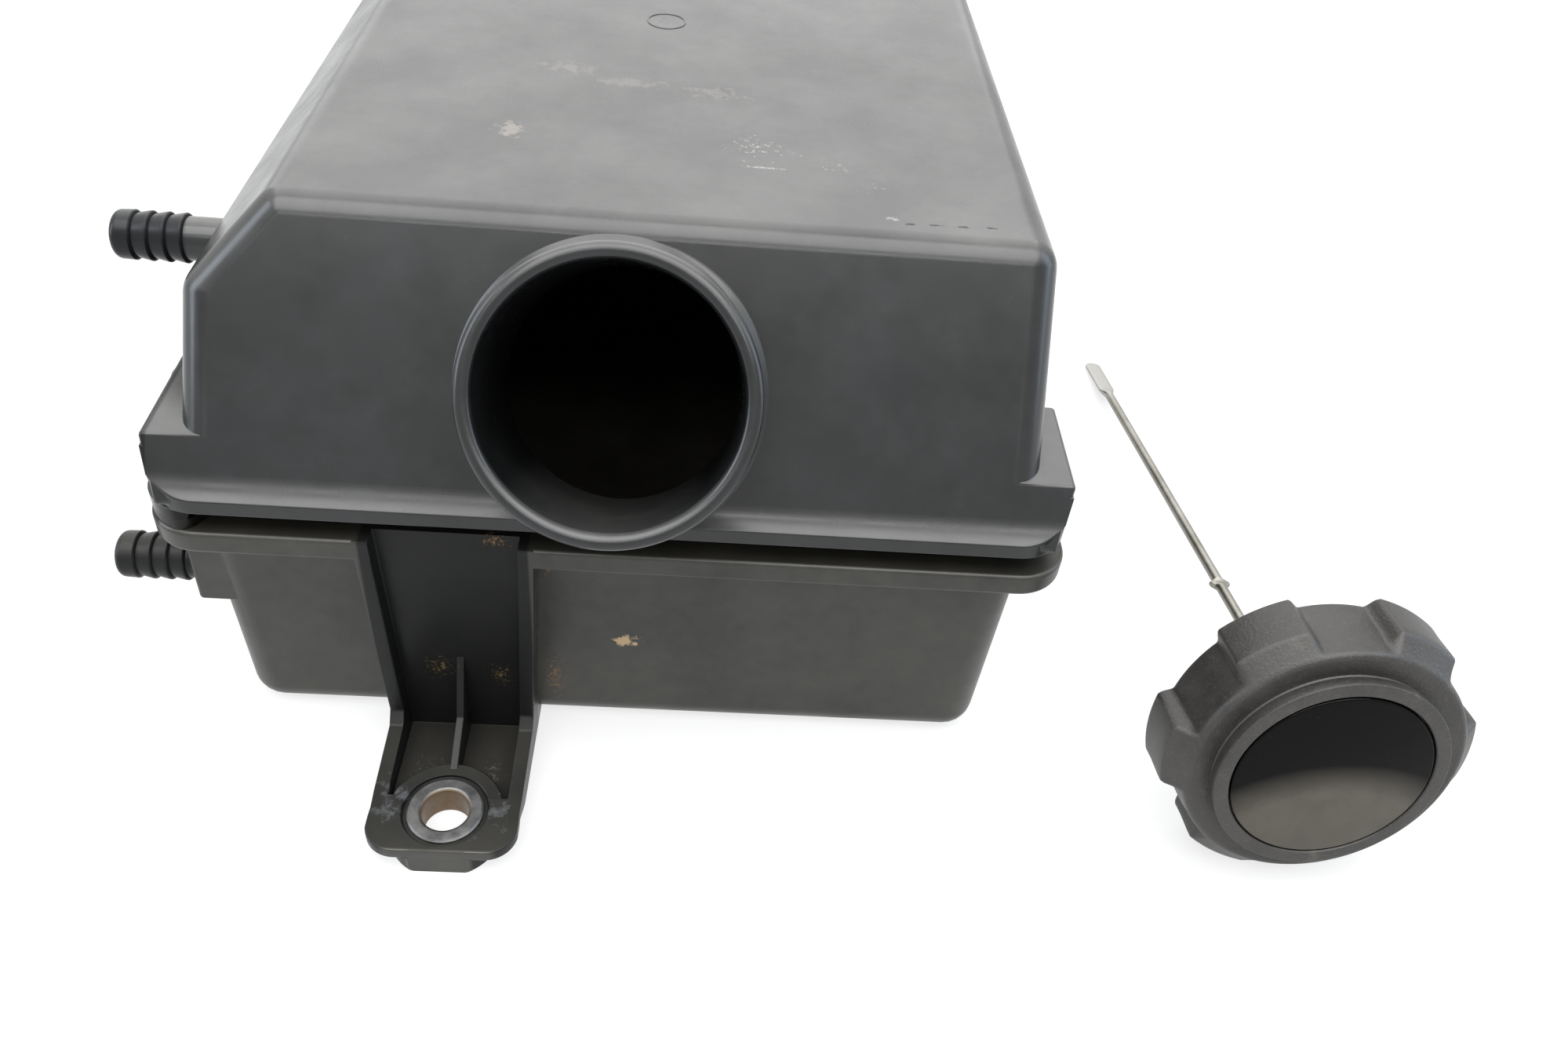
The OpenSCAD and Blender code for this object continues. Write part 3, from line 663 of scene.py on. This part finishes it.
def lower_shell():
    """Lower moulding: the tub, its flange, half of the weld, the tab and the barb's block joined,
    then its room and the bush's seat cut out, then the barb added."""
    shell = rounded_solid("lower_shell_skin", tub_planes(0, 58.0), BOTTOM_R, 8)
    flange = lower_flange()
    combine(flange, "DIFFERENCE", prism("slot", tab_front(RIB_T), -2, 3.8, "xzy", ON_TAB))
    pad = [([-1, 0, 0], -FEED_SEAT), ([1, 0, 0], 2 * WALL - LOWER_HALF),
           ([0, -1, 0], 5.2 - FEED[0]), ([0, 1, 0], FEED[0] + 6.2),
           ([0, 0, -1], 6.4 - FEED[1]), ([0, 0, 1], LOWER_H + 2)]
    combine(shell, "UNION", flange, weld(LOWER_TOP - 0.3), *tab(),
            rounded_solid("pad", pad, 0.8, 3))
    ring_r, ring_z = LIMITER_R + RING_W, TAB_H - RING_DEPTH
    seat = [(0, -1), (LIMITER_R, -1), (LIMITER_R, ring_z), (ring_r - 0.25, ring_z),
            (ring_r, ring_z + 0.25), (ring_r, TAB_H - 0.2), (ring_r + 0.3, TAB_H + 0.1),
            (ring_r + 0.3, TAB_H + 1), (0, TAB_H + 1)]
    combine(shell, "DIFFERENCE", rounded_solid("room", tub_planes(WALL, 90), BOTTOM_R - WALL, 4),
            turned("seat", seat, ON_HOLE))
    root = on_left(FEED_SEAT, FEED[0], FEED[1])
    combine(shell, "UNION", barb("feed", FEED[2], root))
    combine(shell, "DIFFERENCE", bore_tool(BARB_BORE, -FEED_BLOCK - 3 * WALL, -0.5, root))
    return shell


def limiter():
    """Steel bush: a turned sleeve with a chamfered and rounded mouth."""
    outer = LIMITER_R - 0.02
    profile = np.vstack([[(LIMITER_BORE + 0.3, 0), (outer - 0.2, 0), (outer, 0.2),
                          (outer, TAB_H - 0.35), (outer - 0.35, TAB_H)],
                         arc((LIMITER_BORE + 0.75, TAB_H - 0.75), 0.75, 90, 180, 6),
                         [(LIMITER_BORE, 0.3)]])
    return turned("limiter_sleeve", profile, ON_HOLE)


# Cap and dipstick

def cap_grip():
    """Lobed grip. At each height z behind the face the radius runs with the angle t between the
    plain radius and the lobes' radius: a lobe is a plateau with eased flanks. The lobes grow out
    of the rim along a chamfer and are rounded at the rear edge."""
    steps = 432
    t = np.arange(steps) * 2 * pi / steps
    pitch = 2 * pi / LOBES
    off = np.abs((t - LOBE_PHASE + pitch / 2) % pitch - pitch / 2)
    s = np.clip((LOBE_HALF + LOBE_MORE - off) / FLANK, 0, 1)
    lobe = s * s * (3 - 2 * s)
    rim = DISC_R + 3.2
    # Depth behind the face, plain radius there and the radius that bounds the lobes
    rows = [(0.0, 0.0, 0.0), (0.0, rim - 0.5, 0.0), (0.15, rim - 0.15, 0.0), (0.5, rim, 0.0),
            (2.2, rim, 0.0), (2.9, rim - 0.5, 0.0), (3.2, rim - 0.3, 0.0), (3.3, rim + 0.4, 0.0),
            (3.15, GRIP_R - 2.3, 0.0), (3.15, GRIP_R - 1.8, 0.0), (3.35, GRIP_R - 1.3, 0.0),
            (3.9, GRIP_R - 0.9, 0.05), (4.5, GRIP_R - 0.72, 0.5), (5.5, GRIP_R - 0.65, 1.5),
            (6.4, GRIP_R - 0.6, 2.45), (6.8, GRIP_R - 0.55, 2.85), (7.3, GRIP_R - 0.5, 3.05),
            (9.0, GRIP_R - 0.3, 2.9),
            (13.5, GRIP_R - 0.14, 2.7), (16.4, GRIP_R, 2.7), (16.9, GRIP_R, 2.6),
            (17.3, GRIP_R - 0.1, 2.3), (17.5, GRIP_R - 0.5, 1.8), (17.5, 0.0, 0.0)]
    rows = np.array(rows)
    radius = rows[:, 1][:, None] + rows[:, 2][:, None] * lobe
    grid = np.stack([radius * np.cos(t), radius * np.sin(t), -rows[:, 0][:, None] + 0 * t], axis=-1)
    grip = solid("grip_body", [(grid, quads(len(rows), steps, False, True))], ON_CAP)
    seat = turned("seat", [(0, -DISC_SEAT), (DISC_R + 0.1, -DISC_SEAT),
                           (DISC_R + 0.3, 0.2 - DISC_SEAT), (DISC_R + 0.3, -0.25),
                           (DISC_R + 0.6, 0.1), (DISC_R + 0.6, 1), (0, 1)], ON_CAP)
    skirt = turned("skirt", [(0, -CAP_H - 1), (SKIRT_R + 0.3, -CAP_H - 1), (SKIRT_R + 0.3, -CAP_H),
                             (SKIRT_R, 0.4 - CAP_H), (SKIRT_R, -WEB_Z - 0.5),
                             (SKIRT_R - 0.5, -WEB_Z), (STUD_R + 0.5, -WEB_Z),
                             (STUD_R, -WEB_Z - 0.5), (STUD_R, -WEB_Z - STUD_L + 0.4),
                             (STUD_R - 0.4, -WEB_Z - STUD_L), (0, -WEB_Z - STUD_L)], ON_CAP)
    combine(grip, "DIFFERENCE", seat, skirt,
            bore_tool(STICK_R, -CAP_H, 0.8 - WEB_Z, ON_CAP, 48))
    return grip


def cap_disc():
    """Shallow dome with a small rounded edge."""
    edge = 0.5
    radii = np.linspace(1, 0, 25)[1:] * (DISC_R - edge)
    dome = np.stack([radii, 0.9 * (1 - (radii / (DISC_R - edge)) ** 2)], axis=-1)
    profile = np.vstack([[(0, -DISC_SEAT), (DISC_R, -DISC_SEAT)],
                         arc((DISC_R - edge, -edge), edge, 0, 90, 6), dome])
    return turned("disc_dome", profile, ON_CAP)


def cap_gasket():
    """Flat ring with rounded corners."""
    low, high = -WEB_Z - 1.6, -WEB_Z
    inner, outer = NECK_BORE - 1.4, SKIRT_R - 0.2
    outline = rounded([(inner, low), (outer, low), (outer, high), (inner, high)], [0.2] * 4, 3)
    return turned("gasket_ring", outline, ON_CAP)


def dipstick():
    """Wire carried along its axis as rings of half width a and half thickness b: both are the
    wire's radius, the ears are pinched wide and thin, and the tip is flattened to a paddle."""
    stations = [(0.8 - WEB_Z, STICK_R, STICK_R, 2.0)]
    for away, wide, thin, power in [(-1.5, 1.2, 1.2, 2.0), (-1.0, 1.35, 1.15, 2.2),
                                    (-0.7, 1.9, 1.0, 2.5), (-0.3, 2.3, 0.85, 3.0),
                                    (0.3, 2.35, 0.8, 3.0), (0.7, 1.9, 0.95, 2.5),
                                    (1.0, 1.35, 1.15, 2.2), (1.5, 1.2, 1.2, 2.0)]:
        stations.append((-EAR_AT - away, wide, thin, power))
    flat = PADDLE_L - STICK_L
    half, thick = PADDLE_W / 2, PADDLE_T / 2
    stations += [(flat + 0.5, STICK_R, STICK_R, 2.0)]
    for s in np.linspace(0, 1, 9)[1:]:
        ease = s * s * (3 - 2 * s)
        stations.append((flat - 4 * s, STICK_R + (half - STICK_R) * ease,
                         STICK_R + (thick - STICK_R) * ease, 2 + 3 * ease))
    stations.append((-STICK_L + half, half, thick, 5.0))
    for s in np.linspace(0, 1, 9)[1:]:
        stations.append((-STICK_L + half * (1 - sin(s * pi / 2)),
                         max(half * cos(s * pi / 2) ** 0.55, 0.05), thick * (1 - 0.25 * s), 5.0))
    stations = np.array(stations)
    t = np.arange(48) * 2 * pi / 48
    power = 2 / stations[:, 3][:, None]
    c, s = np.cos(t)[None], np.sin(t)[None]
    x = stations[:, 1][:, None] * np.sign(c) * np.abs(c) ** power
    y = stations[:, 2][:, None] * np.sign(s) * np.abs(s) ** power
    rings = np.stack([x, y, np.repeat(stations[:, 0][:, None], 48, axis=1)], axis=-1)
    return loft("dipstick_wire", rings, ON_CAP)


# Materials

def linear(hex_colour):
    """Linear colour of an sRGB hex value."""
    parts = np.array([int(hex_colour[k:k + 2], 16) for k in (1, 3, 5)]) / 255
    parts = np.where(parts <= 0.04045, parts / 12.92, ((parts + 0.055) / 1.055) ** 2.4)
    return (*parts, 1.0)


def add(material, kind, inputs=(), out=0, **settings):
    """Adds a node of a kind with its settings, and gives one of its outputs. Its inputs, in order
    or by name or number, are each an output that feeds them, a value or an sRGB hex colour."""
    node = material.node_tree.nodes.new("ShaderNode" + kind)
    for name, value in settings.items():
        setattr(node, name, value)
    for name, value in inputs.items() if isinstance(inputs, dict) else enumerate(inputs):
        if isinstance(value, bpy.types.NodeSocket):
            material.node_tree.links.new(value, node.inputs[name])
        else:
            node.inputs[name].default_value = linear(value) if isinstance(value, str) else value
    return node.outputs[out] if node.outputs else None


def new_material(name, *noises):
    """Empty material, object coordinates in millimetres, and soft noises on them, each by the
    width of its blotches in millimetres, its detail and its roughness."""
    material = bpy.data.materials.new(name)
    material.use_nodes = True
    material.node_tree.nodes.clear()
    place = add(material, "TexCoord", out="Object")
    mm = add(material, "VectorMath", {0: place, "Scale": 1000.0}, operation="SCALE")
    made = [add(material, "TexNoise",
                {"Vector": mm, "Scale": 1 / wide, "Detail": detail, "Roughness": rough})
            for wide, detail, rough in noises]
    return material, mm, *made


def patch(material, where, centre, radii, edge):
    """1 inside an ellipsoid at a place in tank millimetres, falling to 0 over its edge."""
    shift = add(material, "VectorMath", (where, list(BOLT + centre)), operation="SUBTRACT")
    sized = add(material, "VectorMath", (shift, radii), operation="DIVIDE")
    far = add(material, "VectorMath", (sized,), "Value", operation="LENGTH")
    return add(material, "MapRange", (far, 1.0, 1.0 - edge))


def close_material(material, colour, coats, relief, inputs):
    """Lays coats, pairs of a share and a colour, over a colour in turn, gives the surface its
    relief of a height, a strength and a distance in metres, and ends the material in its shader."""
    for share, coat in coats:
        colour = add(material, "Mix", {0: share, 6: colour, 7: coat}, 2, data_type="RGBA")
    height, strength, distance = relief
    bump = add(material, "Bump", {"Height": height, "Strength": strength, "Distance": distance})
    shader = add(material, "BsdfPrincipled", {"Base Color": colour, "Normal": bump, **inputs})
    add(material, "OutputMaterial", (shader,))
    return material


def plastic(name, dark, light, dust_and_sheen, roughness, marks, tab_colour):
    """Moulded polypropylene, satin: a soft broad gloss, cloudy colour from flow in the mould,
    a fine grain, and a pale film on what faces up that is dust and in part a painted sheen. The slot
    between the flanges gets a painted shade. Marks lie on it, most where the real one has them and
    one as a painted sheen on the tab's plate: each is a list of places, a colour, a strength, the
    size of its specks and how full they lie."""
    material, mm, cloud, fine, drift, gloss, grain, wave = new_material(
        name, (34, 4, 0.6), (3.2, 3, 0.6), (22, 5, 0.62), (14, 4, 0.6), (0.45, 2, 0.5), (7, 2, 0.5))
    across, along, above = (add(material, "SeparateXYZ", (mm,), axis) for axis in "XYZ")
    part = add(material, "Math", (fine, 0.3), operation="MULTIPLY")
    tone = add(material, "Math", (cloud, 0.7, part), operation="MULTIPLY_ADD")
    coats = [(add(material, "MapRange", (tone, 0.36, 0.64)), light)]
    # The bolt tab, its channel and the barbs are handled most, and are cleaner and blacker
    aside = add(material, "Math", (across,), operation="ABSOLUTE")
    tab_share = add(material, "MapRange", (aside, 15.4, 14.9))
    for levels in ((along, BOLT[1] + 5.6, BOLT[1] + 5.2), (along, BOLT[1] - 30.4, BOLT[1] - 29.9),
                   (above, LOWER_TOP + 0.4, LOWER_TOP + 0.1)):
        inside = add(material, "MapRange", levels)
        tab_share = add(material, "Math", (tab_share, inside), operation="MULTIPLY")
    barb_x = FEED_SEAT + BOLT[0]
    on_barb = add(material, "MapRange", (across, barb_x - 0.2, barb_x - 0.7))
    tab_share = add(material, "Math", (tab_share, on_barb), operation="MAXIMUM")
    coats.append((add(material, "Math", (tab_share, 0.9), operation="MULTIPLY"), tab_colour))
    # The slot between the flanges is painted near black: painted shade in the recess
    off = add(material, "Math", (above, WELD_Z), operation="SUBTRACT")
    off = add(material, "Math", (off,), operation="ABSOLUTE")
    in_slot = add(material, "MapRange", (off, 2.5, 2.2))
    coats.append((add(material, "Math", (in_slot, 0.85), operation="MULTIPLY"), "#080808"))
    # A pale film on what faces up: dust, and in part a painted sheen that lightens the top; less of it
    # on the tab and none in the slot
    up = add(material, "SeparateXYZ", (add(material, "NewGeometry", out="Normal"),), "Z")
    film = add(material, "MapRange", (up, 0.55, 0.98, 0, dust_and_sheen[1]))
    for levels in ((drift, 0.35, 0.7, 0.55, 1.0), (off, 2.0, 2.9), (tab_share, 0, 1, 1.0, 0.4)):
        share = add(material, "MapRange", levels)
        film = add(material, "Math", (film, share), operation="MULTIPLY")
    coats.append((film, dust_and_sheen[0]))
    rough = add(material, "MapRange", (gloss, 0.3, 0.7, roughness - 0.05, roughness + 0.06))
    for places, mark, strength, ragged, full in marks:
        shape = 0.0
        for centre, radii in places:
            one = patch(material, mm, centre, radii, 1.0)
            shape = add(material, "Math", (shape, one), operation="MAXIMUM")
        speck = add(material, "TexNoise",
                    {"Vector": mm, "Scale": 1 / ragged, "Detail": 5, "Roughness": 0.68})
        heap = add(material, "Math", (shape, full, speck), operation="MULTIPLY_ADD")
        cover = add(material, "MapRange", (heap, 0.74, 0.86, 0, strength))
        rim = add(material, "MapRange", (shape, 0.0, 0.2))
        cover = add(material, "Math", (cover, rim), operation="MULTIPLY")
        coats.append((cover, mark))
        dull = add(material, "Math", (cover, 0.8), operation="MULTIPLY")
        rough = add(material, "Math", (rough, dull), operation="MAXIMUM")
    part = add(material, "Math", (wave, 0.05), operation="MULTIPLY")
    height = add(material, "Math", (grain, 0.012, part), operation="MULTIPLY_ADD")
    # A film of oily dirt on the tab and in the slot lets them mirror less
    dirty = add(material, "Math", (tab_share, in_slot), operation="MAXIMUM")
    mirror = add(material, "MapRange", (dirty, 0, 1, 0.5, 0.2))
    return close_material(material, dark, coats, (height, 0.6, MM),
                          {"Roughness": rough, "Specular IOR Level": mirror, "IOR": 1.49})


def cap_plastic():
    """Glass-filled nylon, moulded in a spark-eroded mould: matte, black and evenly sandy, which
    gives the grip its dry look. Its grit of 0.55 mm is coarser than the real one, to show."""
    material, _, cloud, grit, dirt = new_material("cap_nylon_spark_grained", (9, 4, 0.6),
                                                  (0.55, 2, 0.6), (5, 5, 0.7))
    coats = [(add(material, "MapRange", levels), coat)
             for levels, coat in (((cloud, 0.35, 0.65), "#2f2d2a"),
                                  ((grit, 0.55, 0.75, 0, 0.5), "#45433f"),
                                  ((dirt, 0.6, 0.75, 0, 0.35), "#5c564c"))]
    height = add(material, "Math", (grit, 0.16), operation="MULTIPLY")
    rough = add(material, "MapRange", (cloud, 0.3, 0.7, 0.42, 0.52))
    return close_material(material, "#23211f", coats, (height, 0.5, MM),
                          {"Roughness": rough, "IOR": 1.52})


def disc_plastic():
    """ABS, moulded against polished steel: smooth and deep black, with a paler patch on its lower
    part, dust and a painted reflection together, which also dulls its shine there."""
    material, mm, smear, speck, wave = new_material("disc_abs_polished", (6, 5, 0.65),
                                                    (0.7, 4, 0.7), (9, 1, 0.4))
    low = ON_CAP[:3, :3] @ [3, -DISC_R, 0] + ON_CAP[:3, 3]
    # Paler lower part: dust and a painted reflection together
    below = patch(material, mm, low, (29, 27, 23), 0.3)
    uneven = add(material, "MapRange", (smear, 0.2, 0.8, 0.7, 0.95))
    dust_and_reflection = add(material, "Math", (below, uneven), operation="MULTIPLY")
    coats = [(add(material, "MapRange", (speck, 0.66, 0.78, 0, 0.3)), "#55524c"),
             (dust_and_reflection, "#57534c")]
    rough = add(material, "MapRange", (smear, 0.35, 0.7, 0.06, 0.12))
    rough = add(material, "Math", (dust_and_reflection, 0.3, rough), operation="MULTIPLY_ADD")
    return close_material(material, "#050505", coats, (wave, 0.12, MM),
                          {"Roughness": rough, "IOR": 1.53, "Specular IOR Level": 0.08})


def rubber():
    """Nitrile rubber, moulded: matte dark grey with a faint bloom."""
    material, _, cloud, grain = new_material("gasket_nitrile_moulded", (4, 4, 0.6), (0.5, 2, 0.5))
    coats = [(add(material, "MapRange", (cloud, 0.4, 0.7)), "#2c2c2b")]
    return close_material(material, "#202021", coats, (grain, 0.3, 0.1 * MM),
                          {"Roughness": 0.72, "IOR": 1.5})


def limiter_steel():
    """Free-cutting steel, turned and left plain: grey with fine rings from the tool, dulled, and
    stained brown inside the bore."""
    material, mm, blot, dull = new_material("limiter_steel_turned", (2.2, 5, 0.65), (3, 4, 0.6))
    flat = add(material, "VectorMath", (mm, (1, 1, 0)), operation="MULTIPLY")
    radius = add(material, "VectorMath", (flat,), "Value", operation="LENGTH")
    inside = add(material, "MapRange", (radius, LIMITER_BORE + 0.5, LIMITER_BORE + 0.1))
    share = add(material, "MapRange", (blot, 0.3, 0.7, 0.5, 1.0))
    stained = add(material, "Math", (inside, share), operation="MULTIPLY")
    coats = [(add(material, "MapRange", (dull, 0.35, 0.65)), "#7d7d7b"), (stained, "#6b5130")]
    # Rings 0.3 mm apart, coarser than a tool leaves them, so that they show
    turns = add(material, "Math", (radius, 2 * pi / 0.3), operation="MULTIPLY")
    rings = add(material, "Math", (turns,), operation="SINE")
    rough = add(material, "MapRange", (dull, 0.3, 0.7, 0.38, 0.52))
    metal = add(material, "MapRange", (inside, 0, 1, 0.9, 0.55))
    return close_material(material, "#646464", coats, (rings, 0.25, 0.01 * MM),
                          {"Roughness": rough, "Metallic": metal})


def wire_steel():
    """Stainless spring wire, drawn: satin, with fine lines along its length and an oil film. The
    flattened tip is given a slightly lighter colour."""
    material, mm, film = new_material("wire_stainless_drawn", (12, 4, 0.6))
    drawn = add(material, "VectorMath", (mm, (1, 60, 1)), operation="DIVIDE")
    lines = add(material, "TexNoise",
                {"Vector": drawn, "Scale": 1 / 0.35, "Detail": 2, "Roughness": 0.5})
    tip = ON_CAP[:3, :3] @ [0, 0, PADDLE_L / 2 - STICK_L] + ON_CAP[:3, 3]
    coats = [(add(material, "MapRange", (film, 0.35, 0.65)), "#a09e98"),
             (patch(material, mm, tip, (14, 14, 14), 0.25), "#a5a39e")]
    rough = add(material, "MapRange", (film, 0.3, 0.7, 0.34, 0.48))
    return close_material(material, "#858379", coats, (lines, 0.3, 0.02 * MM),
                          {"Roughness": rough, "Metallic": 1.0})


# Marks on the shells: places in tank millimetres with their radii, then colour, strength, the
# size of their specks and how full they lie
UPPER_MARKS = [
    ([((-16.6, 89, TANK_H), (14, 6, 4)), ((-4, 84, TANK_H), (16, 5, 4)),
      ((13, 82, TANK_H), (14, 7, 4))], "#b3a89c", 0.1, 2.2, 0.4),
    ([((-24.4, 60, TANK_H), (5, 6, 4))], "#bdb1a4", 0.2, 1.8, 0.5),
    ([((28.5, 59, TANK_H), (6, 3, 3)), ((36, 54, TANK_H), (10, 8, 3)),
      ((43, 47, TANK_H), (6, 4, 3)), ((22, 60, TANK_H), (14, 12, 3))], "#d6d5c8", 0.4, 0.9, 0.2),
    ([((23, 52, TANK_H), (8, 1, 2)), ((46, 36.5, TANK_H), (3, 1.6, 2))], "#c9c8c2", 0.25, 0.7, 0.4),
    ([((48.9, 34.9, TANK_H), (2.6, 0.7, 3)), ((53.5, 35.2, TANK_H), (3.2, 0.7, 3)),
      ((58.6, 35.3, TANK_H), (2.8, 0.7, 3)), ((63.6, 35.6, TANK_H), (2.4, 0.6, 3))],
     "#1a1a1a", 0.8, 0.6, 0.5),
    ([((1.8, 117, TANK_H), (5.4, 5.4, 2))], "#3c3c3b", 0.7, 0.9, 0.3),
]
LOWER_MARKS = [
    ([((1.8, 8, 26), (4.6, 3.4, 3.4))], "#a8906f", 0.95, 1.4, 0.5),
    ([((-22, 3.5, 55), (7, 5, 4)), ((-13, 8, 48), (4, 4, 9)), ((-13, 8, 14), (5, 4, 16)),
      ((-16, 5, 44), (3, 5, 12))], "#7d5c36", 0.75, 0.8, 0.3),
    ([((-35, 3.8, 20), (8, 3, 7)), ((-23, 3.8, 18), (6, 3, 8))], "#6b5a3a", 0.7, 0.8, 0.28),
    ([((TAB_X - 6, -8, 3.2), (9, 10, 2)), ((TAB_X + 7, -8, 3.2), (6, 9, 2))],
     "#6c6b67", 0.6, 0.8, 0.26),
    # Painted sheen: a lighter bluish grey on the tab's plate stands in for its sheen
    ([((TAB_X - 10, -19, TAB_H), (8, 14, 2)), ((TAB_X + 9, -21, TAB_H), (7, 11, 2))],
     "#6f7174", 0.4, 3.5, 0.36),
]


# Stage

def seen_directly(material):
    """1 for rays of the camera, in gloss and through glass, and 0 for light on the part."""
    seen = 0.0
    for ray in ("Is Camera Ray", "Is Glossy Ray", "Is Transmission Ray"):
        kind = add(material, "LightPath", out=ray)
        seen = add(material, "Math", (seen, kind), operation="MAXIMUM")
    return seen


def floor_material():
    """Seamless paper: matte white, and lit from itself a little where the camera, gloss or glass
    sees it, so that it reads as a white ground and still keeps the shadow."""
    material, _ = new_material("paper_matte")
    base = add(material, "BsdfDiffuse", {"Color": "#efefef", "Roughness": 0.5})
    glow = add(material, "Emission", {"Color": "#ffffff", "Strength": 1.0})
    share = add(material, "Math", (seen_directly(material), 0.72), operation="MULTIPLY")
    add(material, "OutputMaterial", (add(material, "MixShader", (share, base, glow)),))
    return material


def make_stage():
    """Pale floor under the part."""
    half = 4.0
    grid = np.array([(-half, -half, 0), (half, -half, 0), (half, half, 0), (-half, half, 0)])
    mesh = bpy.data.meshes.new("floor")
    mesh.from_pydata(grid.tolist(), [], [(0, 1, 2, 3)])
    floor = bpy.data.objects.new("floor", mesh)
    mesh.materials.append(floor_material())
    bpy.context.scene.collection.objects.link(floor)


def make_world():
    """Plain pale surround: soft light on the part, and white where it is seen."""
    world = bpy.data.worlds.new("studio")
    world.use_nodes = True
    bpy.context.scene.world = world
    world.node_tree.nodes.clear()
    strength = add(world, "MapRange", (seen_directly(world), 0, 1, 0.45, 1.0))
    back = add(world, "Background", {"Color": "#ffffff", "Strength": strength})
    add(world, "OutputWorld", (back,))


def add_light(name, place, target, size, power, colour=(1, 1, 1)):
    """Rectangular soft box at a place, looking at a target, both in metres."""
    lamp = bpy.data.lights.new(name, "AREA")
    lamp.shape = "RECTANGLE"
    lamp.size, lamp.size_y = size
    lamp.energy = power
    lamp.color = colour
    holder = bpy.data.objects.new(name, lamp)
    holder.location = place
    holder.rotation_euler = (Vector(target) - Vector(place)).to_track_quat("-Z", "Y").to_euler()
    bpy.context.scene.collection.objects.link(holder)


def make_lights():
    """Soft boxes: one over and behind the part, which the top mirrors, a wide one above it, a long
    strip over the camera, which the rounded edges mirror, and weak ones at both sides and behind."""
    add_light("overhead", (0.0, 0.75, 0.95), (0.03, 0.08, 0.08), (1.5, 1.0), 9)
    add_light("ceiling", (0.1, -0.3, 1.35), (0.1, -0.2, 0.0), (2.0, 1.1), 33)
    add_light("front_strip", (0.1, -1.0, 1.08), (0.03, 0.05, 0.08), (1.4, 0.12), 4)
    add_light("side_fill", (-1.0, -0.1, 0.5), (0.1, -0.02, 0.05), (0.4, 0.8), 5, (0.78, 0.87, 1.0))
    add_light("back_panel", (-0.2, 1.8, 0.5), (0.0, 0.0, 0.1), (2.0, 0.7), 4)
    add_light("window", (1.1, 0.1, 0.5), (0.1, 0.05, 0.05), (0.5, 0.9), 4, (0.6, 0.78, 1.0))


def make_camera():
    """Camera at the photograph's place: turned by yaw, then tipped down by pitch, then rolled."""
    yaw, pitch, roll = 0.0926, 0.7338, 0.1171
    focal_px, width_px, sensor_mm = 1669.9, 1999, 36.0
    level = np.array([[1, 0, 0], [0, 0, -1], [0, 1, 0]], float)
    right, down, ahead = rotation("z", roll) @ rotation("x", pitch) @ level @ rotation("z", yaw)
    camera = bpy.data.cameras.new("camera")
    camera.sensor_width = sensor_mm
    camera.lens = focal_px / width_px * sensor_mm
    camera.clip_start = 0.01
    holder = bpy.data.objects.new("camera", camera)
    axes = Matrix(np.array([right, -down, -ahead]).T.tolist())
    holder.matrix_world = Matrix.Translation((0.0446, -0.1501, 0.2217)) @ axes.to_4x4()
    bpy.context.scene.collection.objects.link(holder)
    bpy.context.scene.camera = holder


make_camera()
make_stage()
make_world()
make_lights()
bpy.context.scene.view_settings.view_transform = "Standard"

black = plastic("shell_polypropylene_moulded", "#101111", "#1d1e1f", ("#8f8e8b", 0.26), 0.24,
                UPPER_MARKS, "#17181a")
olive = plastic("lower_polypropylene_dusty", "#1b1b16", "#32312b", ("#8f8b80", 0.24), 0.36,
                LOWER_MARKS, "#121314")

finish_piece(upper_shell(), "upper_shell", black)
finish_piece(lower_shell(), "lower_shell", olive)
finish_piece(limiter(), "compression_limiter", limiter_steel())
finish_piece(cap_grip(), "cap_grip", cap_plastic(), 40)
finish_piece(cap_disc(), "cap_disc", disc_plastic())
finish_piece(cap_gasket(), "cap_gasket", rubber())
finish_piece(dipstick(), "dipstick", wire_steel())
